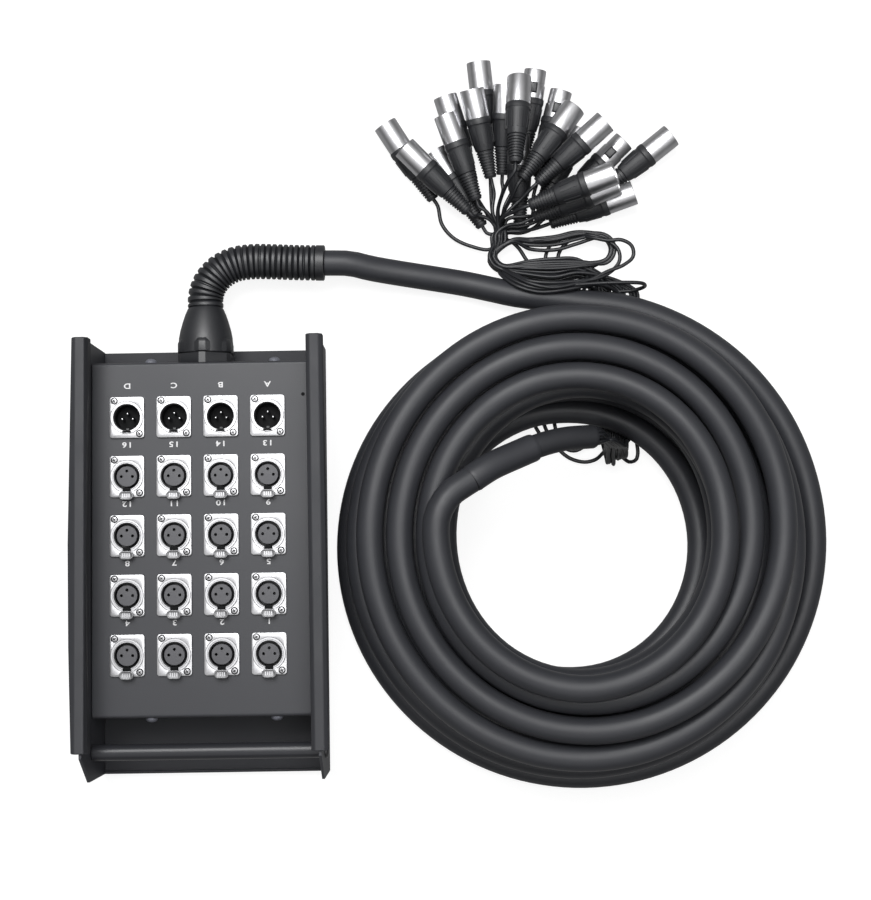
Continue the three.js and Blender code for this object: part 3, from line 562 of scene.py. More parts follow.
def from_solid(node_name, name, material, width, segments=2, angle=30):
    """A softened copy of a CAD solid, its loose triangles merged first."""
    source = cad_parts[node_name]
    piece = copied(source, name, source.matrix_world)
    piece.parent = None
    piece.matrix_world = Matrix.Identity(4)
    piece.data.materials.clear()
    piece.data.materials.append(material_for(material))
    edit_all(piece)
    bpy.ops.mesh.remove_doubles(threshold=0.00001)
    bpy.ops.mesh.dissolve_limited(angle_limit=math.radians(2))
    fresh()
    soften(piece, width, segments, angle)
    return modify(piece, "WEIGHTED_NORMAL", keep_sharp=True, weight=100)


def spline(points, step):
    """Even points, about step apart, on a smooth line through a route."""
    spots = [Vector(p) for p in points]
    ends = [2 * spots[0] - spots[1]] + spots + [2 * spots[-1] - spots[-2]]
    dense = []
    for i in range(len(spots) - 1):
        a, b, c, d = ends[i:i + 4]
        knots = [0.0]
        for p, q in ((a, b), (b, c), (c, d)):
            knots.append(knots[-1] + max((q - p).length, 1e-6) ** 0.5)
        count = max(2, math.ceil((c - b).length / (step / 4)))
        for k in range(count):
            share = knots[1] + (knots[2] - knots[1]) * k / count
            dense.append(blended(a, b, c, d, knots, share))
    dense.append(spots[-1])
    return evened(dense, step)


def blended(a, b, c, d, knots, t):
    """A point of the smooth line between the middle two of four points."""
    k0, k1, k2, k3 = knots
    ab = a.lerp(b, (t - k0) / (k1 - k0))
    bc = b.lerp(c, (t - k1) / (k2 - k1))
    cd = c.lerp(d, (t - k2) / (k3 - k2))
    first = ab.lerp(bc, (t - k0) / (k2 - k0))
    second = bc.lerp(cd, (t - k1) / (k3 - k1))
    return first.lerp(second, (t - k1) / (k2 - k1))


def evened(points, step):
    """The same line with its points spread evenly."""
    lengths = [0.0]
    for a, b in zip(points, points[1:]):
        lengths.append(lengths[-1] + (b - a).length)
    count = max(2, round(lengths[-1] / step))
    spread = []
    place = 0
    for k in range(count + 1):
        goal = lengths[-1] * k / count
        while place < len(points) - 2 and lengths[place + 1] < goal:
            place += 1
        span = lengths[place + 1] - lengths[place]
        spread.append(points[place].lerp(points[place + 1], (goal - lengths[place]) / span))
    return spread


def line_length(points):
    return sum((b - a).length for a, b in zip(points, points[1:]))


def cord_curve(name, points, diameter, material, roundness):
    """Round cord on a line of points given in millimetres."""
    curve = bpy.data.curves.new(name, "CURVE")
    curve.dimensions = "3D"
    curve.bevel_depth = diameter / 2
    curve.bevel_resolution = roundness
    curve.use_fill_caps = True
    track = curve.splines.new("POLY")
    track.points.add(len(points) - 1)
    for spot, place in zip(track.points, points):
        spot.co = (place.x / 1000, place.y / 1000, place.z / 1000, 1)
    track.use_smooth = True
    piece = bpy.data.objects.new(name, curve)
    piece.data.materials.append(material_for(material))
    bpy.context.scene.collection.objects.link(piece)
    return piece


def along(points, index):
    """Direction of a line at one of its points."""
    a = points[max(0, index - 1)]
    b = points[min(len(points) - 1, index + 1)]
    return (b - a).normalized()


def facing(place, direction):
    """Matrix that lays a piece made along Z at a place, along a direction, its Y side up."""
    z = direction.normalized()
    x = Vector((0, 0, 1)).cross(z).normalized()
    return Matrix.Translation(place) @ Matrix((x, z.cross(x), z)).transposed().to_4x4()


def lifted(angle):
    """How much the coil rises over the band of tails, at an angle."""
    away = abs((math.degrees(angle) - LIFT_MIDDLE + 180) % 360 - 180)
    share = min(1, max(0, (away - LIFT_HALF) / LIFT_FADE))
    return LIFT * math.cos(share * math.pi / 2) ** 2


def coil_point(turn, loops, level, bulge):
    """A point of the coil in millimetres; turns run clockwise from the top."""
    angle = math.pi / 2 - 2 * math.pi * turn
    wide = math.cos(angle) ** 2
    radius = (INNER_RADIUS + LAYER_WIDER * level - (INNER_FLAT + LAYER_FLAT * level) * wide
              + loops * (LOOP_STEP + LOOP_STEP_WIDE * wide) + bulge)
    return Vector((
        COIL_X + COIL_X_STEP * loops + LAYER_X * level + radius * math.cos(angle),
        COIL_Y + COIL_Y_STEP * loops + LAYER_Y * level + radius * math.sin(angle),
        FIRST_HEIGHT + LAYER_RISE * level + lifted(angle)))


def coil_line(steps):
    """Layer on layer, inwards and outwards by turns, with a climb between two."""
    points = []
    begun = 0
    layers = len(LAYER_STARTS) - 1
    for level in range(layers):
        start, end = LAYER_STARTS[level:level + 2]
        way = 1 if end > start else -1
        while len(points) / steps <= begun + abs(end - start):
            turn = len(points) / steps
            points.append(coil_point(turn, start + way * (turn - begun), level, 0))
        begun += abs(end - start)
        inner = CLIMB_BULGE_IN if level else CLIMB_BULGE_FIRST
        bulge = way * (CLIMB_BULGE_OUT if end else inner)
        while len(points) / steps <= begun + CLIMB_TURNS:
            turn = len(points) / steps
            share = (turn - begun) / CLIMB_TURNS
            points.append(
                coil_point(turn, end, level + share, bulge * math.sin(math.pi * share)))
        begun += CLIMB_TURNS
    while len(points) / steps <= begun + TOP_TURNS:
        points.append(coil_point(len(points) / steps, 0, layers, 0))
    return points


def cable_line():
    """The whole main cable, from the sleeve's end to the boot."""
    return spline(LEAD_ROUTE + coil_line(COIL_STEPS) + COIL_LEAVE, CABLE_STEP)


def band_lane(index, y):
    """Sideways place of one tail in the flat band."""
    for i in range(len(BAND_Y) - 1):
        if y <= BAND_Y[i + 1]:
            break
    share = (y - BAND_Y[i]) / (BAND_Y[i + 1] - BAND_Y[i])
    left = BAND_LEFT[i] + share * (BAND_LEFT[i + 1] - BAND_LEFT[i])
    right = BAND_RIGHT[i] + share * (BAND_RIGHT[i + 1] - BAND_RIGHT[i])
    return left + (index + 0.5) / TAILS * (right - left)


def plug_ends(route, length):
    """Tip and boot end of a plug, from the last two points of its route."""
    tip, boot = Vector(route[-1]), Vector(route[-2])
    away = (boot - tip).normalized()
    return tip, tip + away * length, away


def bundle_place(index, radius):
    """Place of one tail in a round bundle, in a sunflower pattern."""
    reach = radius * math.sqrt((index + 0.5) / TAILS)
    angle = index * GOLDEN_ANGLE
    return reach * math.cos(angle), reach * math.sin(angle)


def neck_line(index):
    """A tail's drop from the sleeve's end to its fold, and its way to the coil's edge.

    Tails between the loose ones and the last lie side by side, in three layers; share, from
    0 to 1, says how far right."""
    if index < len(LOOSE_NECKS):
        return LOOSE_NECKS[index]
    if index == TAILS - 1:
        return SIDE_NECK
    share = (index - len(LOOSE_NECKS)) / (TAILS - len(LOOSE_NECKS) - 2)
    layer = (index * 7) % 3
    low = FLOOR_TAIL + TAIL_PITCH * layer
    fold = 71.2 + 1.6 * ((index * 5) % 4) - 1.6 * layer + 9 * max(0, share - 0.45)
    return [
        (299 + 7 * share, 84.5 - share, 61 - 2 * layer),
        (304 + 13 * share, 80.5 - share, 45 - 2 * layer),
        (304.5 + 16 * share, fold + 6, 26),
        (305.5 + 16.5 * share, fold + 2.6, low + 11),
        (305.6 + 16.5 * share, fold + 0.2, low + 5.6),
        (305.5 + 16.5 * share, fold + 3.4, low + 1.2),
        (304 + 19 * share, fold + 10, low),
        (301 + 27 * share, 91, FLOOR_TAIL + 1.6 * layer),
        (298 + 32 * share, 104, FLOOR_TAIL + 0.5 * layer)]


def arc(x, y, z, radius, degrees):
    """Points round a middle, at its height."""
    turns = [math.radians(d) for d in degrees]
    return [(x + math.cos(t) * radius, y + math.sin(t) * radius, z) for t in turns]


def near_run(lean, z):
    """The hank's near side, from its right end to its left end.

    lean, from 0 to 1, says how far out a turn lies."""
    return [(288, 229.5 - 12 * lean, z), (268, 230.5 - 17 * lean, z + 0.5),
            (249, 229 - 12.5 * lean, z)]


def left_end(lean, z):
    x, y = HANK_LEFT
    return arc(x - 1.5 * lean, y, z, 9.3 + 3.5 * lean, (258, 225, 190))


def right_end(lean, z):
    x, y = HANK_RIGHT
    return arc(x + 1.5 * lean, y, z, 9.3 + 3.6 * lean, (78, 40, 0, -38, -70))


def hank_line(index, loops, entry):
    """A tail's way from the coil's outer edge to the bundle above the hank."""
    # Neighbours in the band are scattered over the hank's width and height.
    lean = ((index * 7 + 3) % TAILS) / (TAILS - 1)
    z = 2.6 + TAIL_PITCH * (index % 4)
    if index in OVER_CABLE:
        return OVER_CABLE[index] + left_end(1, 12)
    if index in CROSSING:
        points = CROSSING[index]
        if points[-1][0] < HANK_LEFT[0] + 8:
            return points
        return points + right_end(lean, 12) + near_run(lean, 14) + left_end(lean, 14)
    points = [(entry - 1, 205, 3), (0.5 * (entry + 298), 214, 0.5 * z + 1.4)]
    points += near_run(lean, z) + left_end(lean, z)
    if loops:
        high = 8 + TAIL_PITCH * (index % 3)
        across = UPPER_PLACES[LOOPED.index(index)]
        points += [(236, 244.5 + across, z + 3), (250, 239.5 + 6.5 * across, high),
                   (270, 238.5 + 9 * across, high), (287, 243 + 8 * across, high)]
        if index in STRAY_ENDS:
            return points + STRAY_ENDS[index] + left_end(1, 14)
        points += right_end(lean, high) + near_run(1 - lean, high + 3) + left_end(1 - lean, high)
    return points


def tail_line(index, route, loops, plug_length):
    """One tail: out of the sleeve, under the coil, round the hank, to its plug."""
    start = Vector(BOOT_ROUTE[-1])
    out = (start - Vector(BOOT_ROUTE[-2])).normalized()
    side = out.cross(Vector((0, 0, 1))).normalized()
    a, b = bundle_place(index, NECK_BUNDLE)
    first = start + side * a + side.cross(out) * b
    points = [first, first + out * 4] + neck_line(index)
    for y in (120, 142, 170, BAND_Y[-1]):
        points.append((band_lane(index, y), y, FLOOR_TAIL))
    points += hank_line(index, loops, band_lane(index, BAND_Y[-1]))
    a, b = bundle_place(index, TOP_BUNDLE)
    points += [(x + a, y, z + b) for x, y, z in BUNDLE_PLACES]
    _, boot, away = plug_ends(route, plug_length)
    points += route[:-2] + [boot + away * 6, boot, boot - away * PLUG_RUN_IN]
    return spline([(x, y, max(z, FLOOR_TAIL)) for x, y, z in points], TAIL_STEP)


class SNAKE_OT_stage(bpy.types.Operator):
    """Camera, lamps, world and pale floor"""
    bl_idname = "snake.stage"
    bl_label = "Stage"

    def execute(self, context):
        camera = bpy.data.cameras.new("camera")
        camera.sensor_width = SENSOR_WIDTH
        camera.sensor_fit = "HORIZONTAL"
        camera.lens = FOCAL_SHARE * SENSOR_WIDTH
        camera.clip_end = 20
        eye = bpy.data.objects.new("camera", camera)
        eye.location = CAMERA_PLACE
        eye.rotation_euler = [math.radians(a) for a in CAMERA_TURN]
        context.scene.collection.objects.link(eye)
        context.scene.camera = eye
        for name, place, size, power in LAMPS:
            lamp = bpy.data.lights.new(name, "AREA")
            lamp.size = size
            lamp.energy = power
            light = bpy.data.objects.new(name, lamp)
            light.location = place
            aim = LAMP_AIM - Vector(place)
            light.rotation_euler = aim.to_track_quat("-Z", "Y").to_euler()
            context.scene.collection.objects.link(light)
        self.paint_world(context)
        self.lay_floor(context)
        context.scene.view_settings.view_transform = "Standard"
        return {"FINISHED"}

    def shown(self, tree, hidden, seen, glossy):
        """Mixes two shaders: seen for camera and transmission rays, and for glossy ones
        in the share that the last value or socket gives."""
        rays = node(tree, "ShaderNodeLightPath").outputs
        mirrored = node(tree, "ShaderNodeMath", {"operation": "MULTIPLY"},
                        {0: rays["Is Glossy Ray"]})
        if isinstance(glossy, float):
            mirrored.inputs[1].default_value = glossy
        else:
            tree.links.new(glossy, mirrored.inputs[1])
        clear = node(tree, "ShaderNodeMath", {"operation": "MAXIMUM"},
                     {0: rays["Is Camera Ray"], 1: rays["Is Transmission Ray"]})
        share = node(tree, "ShaderNodeMath", {"operation": "MAXIMUM"},
                     {0: clear.outputs[0], 1: mirrored.outputs[0]})
        return node(tree, "ShaderNodeMixShader", {},
                    {0: share.outputs[0], 1: hidden.outputs[0], 2: seen.outputs[0]}).outputs[0]

    def paint_world(self, context):
        """White where it is seen; bright overhead and dimmer towards the horizon."""
        world = bpy.data.worlds.new("studio")
        context.scene.world = world
        world.use_nodes = True
        tree = world.node_tree
        tree.nodes.clear()
        place = node(tree, "ShaderNodeTexCoord").outputs["Generated"]
        height = node(tree, "ShaderNodeSeparateXYZ", {}, {"Vector": place}).outputs["Z"]
        overhead = node(tree, "ShaderNodeMapRange",
                        {"From Min": 0.35, "From Max": 0.95, "To Min": 0.06, "To Max": 1.0},
                        {"Value": height}).outputs["Result"]
        soft = node(tree, "ShaderNodeBackground", {"Color": (1, 1, 1, 1), "Strength": 0.12})
        white = node(tree, "ShaderNodeBackground", {"Color": (1, 1, 1, 1), "Strength": 1.0})
        node(tree, "ShaderNodeOutputWorld", {},
             {"Surface": self.shown(tree, soft, white, overhead)})

    def lay_floor(self, context):
        """Pale floor that lights the object little and keeps its shadow."""
        fresh()
        bpy.ops.mesh.primitive_plane_add(size=FLOOR_SIDE, location=FLOOR_PLACE)
        floor = settle(bpy.context.object, "floor")
        material = bpy.data.materials.new("pale_floor")
        material.use_nodes = True
        tree = material.node_tree
        tone = tuple(context.scene.snake_colours.floor)
        dull = tree.nodes["Principled BSDF"]
        dull.inputs["Base Color"].default_value = tinted(tone, 0.15) + (1,)
        dull.inputs["Roughness"].default_value = 0.9
        dull.inputs["Specular IOR Level"].default_value = 0.1
        glow = node(tree, "ShaderNodeEmission", {"Color": (1, 1, 1, 1), "Strength": 0.86})
        shade = node(tree, "ShaderNodeBsdfDiffuse", {"Color": tinted(tone, 0.3) + (1,)})
        both = node(tree, "ShaderNodeAddShader", {}, {0: shade.outputs[0], 1: glow.outputs[0]})
        tree.links.new(self.shown(tree, dull, both, 0.25),
                       tree.nodes["Material Output"].inputs["Surface"])
        floor.data.materials.append(material)


class SNAKE_OT_main_cable(bpy.types.Operator):
    """Main cable with its ribbed sleeve and its breakout boot"""
    bl_idname = "snake.main_cable"
    bl_label = "Main cable"

    def execute(self, context):
        sizes = context.scene.snake_sizes
        sleeve = rides(self.ribbed_sleeve(), "plastic", "flex_sleeve")
        boot = rides(self.breakout(), "plastic", "breakout_boot")
        points = cable_line()
        cable = cord_curve("main_cable", points, sizes.cable, "jacket", 9)
        rides(cable, "rubber", "main_cable_lead", "main_cable_coil")
        return {"FINISHED"}

    def swept(self, name, line, radii, sides, material):
        """Round tube of changing radius, grown ring by ring along a line."""
        places, faces = [], []
        for i, spot in enumerate(line):
            z = along(line, i)
            x = z.cross(Vector((0, 0, 1))).normalized()
            y = x.cross(z)
            for k in range(sides):
                angle = 2 * math.pi * k / sides
                out = x * math.cos(angle) + y * math.sin(angle)
                places.append((spot + out * radii[i]) / 1000)
        for i in range(len(line) - 1):
            for k in range(sides):
                a, b = i * sides + k, i * sides + (k + 1) % sides
                faces.append((a, a + sides, b + sides, b))
        faces.append(list(range(sides)))
        faces.append([(len(line) - 1) * sides + k for k in reversed(range(sides))])
        mesh = bpy.data.meshes.new(name)
        mesh.from_pydata(places, [], faces)
        mesh.materials.append(material_for(material))
        piece = bpy.data.objects.new(name, mesh)
        bpy.context.scene.collection.objects.link(piece)
        return outward(piece)

    def ribbed_sleeve(self):
        """Rounded ribs, then a plain collar."""
        ribs, groove, rib_height, collar_radius, collar_length = 25, 11.5, 2.2, 13.75, 6.6
        line = spline(SLEEVE_ROUTE, 0.5)
        whole = line_length(line)
        collar = whole - collar_length
        radii = []
        for i in range(len(line)):
            gone = whole * i / (len(line) - 1)
            if gone > collar:
                radii.append(collar_radius)
            else:
                phase = (gone / collar * ribs) % 1
                radii.append(groove + rib_height * min(1, 1.5 * math.sin(math.pi * phase)))
        radii[0] = radii[-1] = 13.0
        return smooth(self.swept("flex_sleeve_ribs", line, radii, 40, "black"), 40)

    def breakout(self):
        """Thick cuff over the cable, and the thinner heat shrink sleeve beyond it."""
        cuff_share = 0.52
        line = spline(BOOT_ROUTE, 1.5)
        step = round(cuff_share * (len(line) - 1))
        cuff = [10.35] * (step + 1)
        cuff[0] = cuff[-1] = 9.95
        cuff[-2] = 10.3
        thin = [8.9] * (len(line) - step + 2)
        thin[-1] = 8.3
        return merged(
            "breakout_sleeve",
            smooth(self.swept("cuff", line[:step + 1], cuff, 32, "jacket"), 50),
            smooth(self.swept("thin", line[step - 2:], thin, 32, "sleeve"), 50))


class SNAKE_OT_plugs(bpy.types.Operator):
    """Twenty thin tails and their cable plugs"""
    bl_idname = "snake.plugs"
    bl_label = "Tails and plugs"

    def execute(self, context):
        sizes = context.scene.snake_sizes
        length = sizes.plug * 1000
        male = self.male_plug()
        female = self.female_plug()
        button = self.button()
        for index, route in enumerate(MALE_ROUTES + FEMALE_ROUTES):
            is_male = index < len(MALE_ROUTES)
            number = index + 1 if is_male else index + 1 - len(MALE_ROUTES)
            tip, _, away = plug_ends(route, length)
            place = facing(tip / 1000, away)
            if is_male:
                plug = rides(copied(male, f"male_plug_{number:02d}", place), "tail")
            else:
                plug = copied(female, f"female_plug_shell_{number:02d}", place)
                rides(plug, "nickel", f"female_plug_{number:02d}")
                key = copied(button, f"plug_release_{number:02d}", place)
                rides(key, "plastic", f"plug_button_{number:02d}",
                      body=f"plug_button_{number:02d}_body")
            points = tail_line(index, route, index in LOOPED, length)
            tail = cord_curve(f"tail_{index + 1:02d}", points, sizes.tail, "tail", 3)
            if index == 0:
                rides(tail, "tail", "tail_ribbon", "tail_hank", "tail_fan")
            else:
                rides(tail, "tail")
        discard(male, female, button)
        return {"FINISHED"}

    def boot_and_body(self, name):
        """Black body with its tapered, ringed boot; the tip is at zero."""
        rings = [(0.0078, 0.0222), (0.0094, 0.0224), (0.0099, 0.0232), (0.0099, 0.0268),
                 (0.0095, 0.0272), (0.0093, 0.0284), (0.0091, 0.034), (0.0081, 0.044),
                 (0.0074, 0.0478)]
        z = 0.0485
        for k in range(9):
            wide = 0.0071 - 0.00026 * k
            rings += [(wide - 0.0007, z), (wide - 0.0007, z + 0.0006), (wide, z + 0.0008),
                      (wide, z + 0.002)]
            z += 0.00222
        rings += [(0.0046, 0.0688), (0.0042, 0.07), (0.0016, 0.07)]
        body = turned(name, rings, 32, "boot")
        ribs = []
        for k in range(12):
            rib = slab(f"{name}_rib", (-0.0007, 0.0084, 0.0292), (0.0007, 0.0095, 0.0425), "boot")
            moved(spun(rib, math.radians(4.5), "X"), 0, 0.0026)
            ribs.append(spun(rib, 2 * math.pi * k / 12, "Z"))
        return merged(name, smooth(body, 40), *ribs)

    def male_plug(self):
        """Open nickel shell with three pins, then the black body."""
        shell = turned("shell", [
            (0.0088, 0.0232), (0.0094, 0.0232), (0.0095, 0.0006), (0.0093, 0.0), (0.0086, 0.0),
            (0.0084, 0.0005), (0.0084, 0.0228)], 40, "shell")
        smooth(shell)
        insert = turned("insert", [(0.0083, 0.0225), (0.0083, 0.0135), (0.002, 0.0134)], 32,
                        "black")
        pins = []
        for x, y in PLUG_CONTACTS:
            pin = turned("pin", [(0.0011, 0.0136), (0.0011, 0.0032), (0.0008, 0.0026),
                                 (0.0003, 0.0024)], 12, "pin")
            pins.append(smooth(moved(pin, x, y), 40))
        return merged("male_plug", self.boot_and_body("body"), shell, insert, *pins)

    def female_plug(self):
        """Nickel shell with a dark groove and a face with three holes."""
        shell = turned("shell", [
            (0.0086, 0.0236), (0.0091, 0.0236), (0.0092, 0.0126), (0.009, 0.012),
            (0.0084, 0.0118), (0.0084, 0.0106), (0.0086, 0.0104), (0.0087, 0.0006),
            (0.0084, 0.0), (0.0076, 0.0), (0.0074, 0.0006), (0.0074, 0.0232)], 40, "shell")
        smooth(shell)
        insert = turned("insert", [(0.0073, 0.023), (0.0073, 0.0012), (0.0071, 0.001),
                                   (0.002, 0.001)], 32, "black")
        for x, y in PLUG_CONTACTS:
            drill(insert, 0.0013, 0.009, -0.001, 14, x, y)
        slot = slab("slot", (-0.0031, 0.0045, 0.0106), (0.0031, 0.0125, 0.0188), "shell")
        carve(shell, slot)
        return merged("female_plug", self.boot_and_body("body"), shell, insert)

    def button(self):
        """Release button of a female plug."""
        key = slab("button", (-0.0027, 0.006, 0.011), (0.0027, 0.0109, 0.0184), "black")
        return soften(key, 0.0007, 3)


class SNAKE_OT_gland(bpy.types.Operator):
    """Cable gland: stem with its hexagon, and dome nut with a six sided collar"""
    bl_idname = "snake.gland"
    bl_label = "Gland"

    def execute(self, context):
        middle = Matrix.Translation((GLAND_X, 0, GLAND_Z))
        turn = middle @ Matrix.Rotation(-math.pi / 2, 4, "X")
        body = from_solid("gland_body", "gland_fitting", "black", 0.0003)
        # A corner of the hexagon points up.
        body.data.transform(middle @ Matrix.Rotation(math.pi / 6, 4, "Y") @ middle.inverted())
        # Each corner is cut back to a narrow flat.
        for k in range(6):
            chip = slab("chip", (-0.004, 0.0218, 0.1486), (0.004, 0.026, 0.1571), "black")
            chip.data.transform(turn @ Matrix.Rotation(2 * math.pi * k / 6, 4, "Z"))
            carve(body, chip)
        rides(body, "plastic", "gland_body")
        rings = [(0.0205, 0.1571), (0.021, 0.1578), (0.021, 0.1655), (0.0208, 0.1672),
                 (0.0206, 0.17), (0.0196, 0.1755), (0.0178, 0.182), (0.0158, 0.188),
                 (0.0143, 0.1915), (0.0135, 0.193)]
        nut = turned("gland_dome", rings, 48, "black")
        smooth(nut, 30)
        nut.data.transform(turn)
        collar = turned("collar", [(0.0225, 0.1574), (0.0236, 0.1578), (0.0236, 0.165),
                                   (0.0222, 0.168)], 6, "black")
        round_edges(collar, 0.0028, 1, lambda a, b: abs(a.z - b.z) > 0.0002)
        soften(collar, 0.0005, 2, 20)
        collar.data.transform(turn)
        rides(merged("gland_dome", nut, collar), "plastic", "gland_nut")
        return {"FINISHED"}


class SNAKE_OT_box(bpy.types.Operator):
    """Steel frames, pan, panel, edge trims, carry bar and wall screws"""
    bl_idname = "snake.box"
    bl_label = "Steel box"

    def execute(self, context):
        # The pan's copy is a little wider, which closes its 0.3 mm play between the frames.
        for name, made, finish, slot, rounding, sharp, wider in (
                ("left_side_frame", "left_frame_plate", "coat", "coat", 0.0004, 30, 1),
                ("right_side_frame", "right_frame_plate", "coat", "coat", 0.0004, 30, 1),
                ("base_pan", "base_pan_sheet", "pan", "coat", 0.0004, 30, 1.004),
                ("front_panel", "connector_panel", "panel", "panel", 0.0009, 30, 1),
                ("left_edge_trim", "left_edge_strip", "trim", "foam", 0.0009, 25, 1),
                ("right_edge_trim", "right_edge_strip", "trim", "foam", 0.0009, 25, 1)):
            piece = from_solid(name, made, finish, rounding, 3, sharp)
            piece.data.transform(Matrix.Diagonal((wider, 1, 1, 1)))
            rides(piece, slot, name)
        self.carry_bar()
        self.wall_screws()
        # Dark disc as painted shade of a small hole in the panel.
        hole = turned("panel_hole", [(0.0014, PANEL_TOP - 0.0004), (0.0014, PANEL_TOP + 0.00006)],
                      20, "well")
        rides(moved(hole, *PANEL_HOLE), "panel")
        return {"FINISHED"}

    def carry_bar(self):
        """Round bar with a bolt head outside each side frame."""
        bar = turned("bar", [(0.0056, -0.0857), (0.006, -0.0853), (0.006, 0.0853),
                             (0.0056, 0.0857)], 40, "bar")
        smooth(bar)
        ends = []
        for side in (-1, 1):
            head = turned("head", [
                (0.0042, 0.0858), (0.0042, 0.0883), (0.0062, 0.0883), (0.0062, 0.0889),
                (0.0058, 0.0898), (0.0046, 0.0906), (0.0028, 0.091)], 32, "bolt")
            smooth(head, 40)
            ends.append(spun(head, math.pi, "X") if side < 0 else head)
        whole = merged("carry_bar_round", bar, *ends)
        whole.data.transform(
            Matrix.Translation((0, BAR_Y, BAR_Z)) @ Matrix.Rotation(math.pi / 2, 4, "Y"))
        rides(whole, "bar", "carry_bar")

    def wall_screws(self):
        """Domed screw heads on both end walls."""
        head = turned("dome", [(0.0046, 0.0), (0.0046, 0.0007), (0.0043, 0.0017),
                               (0.0035, 0.0026), (0.0022, 0.0032), (0.0008, 0.0035)], 28, "dome")
        smooth(head, 50)
        for wall, spin, name in ((GLAND_WALL, -math.pi / 2, "gland"),
                                 (HANDLE_WALL, math.pi / 2, "handle")):
            for side, x in WALL_SCREW_X:
                place = Matrix.Translation((x, wall, WALL_SCREW_Z))
                place = place @ Matrix.Rotation(spin, 4, "X")
                rides(copied(head, f"{name}_wall_screw_{side}", place), "nickel")
        discard(head)


def flange_plate(width, length):
    """Die cast flange with rounded corners."""
    low, high = PANEL_TOP + 0.0003, FLANGE_TOP
    plate = slab("flange", (-width / 2, -length / 2, low), (width / 2, length / 2, high), "nickel")
    round_edges(plate, 0.0021, 5, upright)
    return plate


def cross_screw():
    """Countersunk screw head, with painted shade of its cross recess and a painted shadow line
    round it.
    """
    head = turned("screw_head", [
        (0.0016, FLANGE_TOP - 0.0012), (0.0021, FLANGE_TOP + 0.0001),
        (0.0018, FLANGE_TOP + 0.0004), (0.001, FLANGE_TOP + 0.0005)], 24, "screw")
    recess = []
    # Dark bars laid on the head are painted shade of the cross recess; the dark ring below is a
    # painted shadow line.
    for x, y in ((0.0013, 0.0003), (0.0003, 0.0013)):
        slot = slab("recess", (-x, -y, FLANGE_TOP + 0.0001), (x, y, FLANGE_TOP + 0.00054), "well")
        recess.append(spun(slot, 0.5, "Z"))
    sink = turned("countersink", [(0.0028, FLANGE_TOP - 0.0003), (0.0027, FLANGE_TOP + 0.00005)],
                  24, "well")
    return merged("cross_screw", smooth(head, 30), sink, *recess)


def grid_place(row, column):
    return (GRID_X + (column - (COLUMNS - 1) / 2) * COLUMN_STEP,
            GRID_Y + ((ROWS - 1) / 2 - row) * ROW_STEP)


def with_screws(parts):
    """Adds a flange's two screws, top left and bottom right."""
    screw = cross_screw()
    for x, y in FLANGE_SCREWS:
        parts.append(copied(screw, "screw", Matrix.Translation((x, y, 0))))
    discard(screw)
    return parts


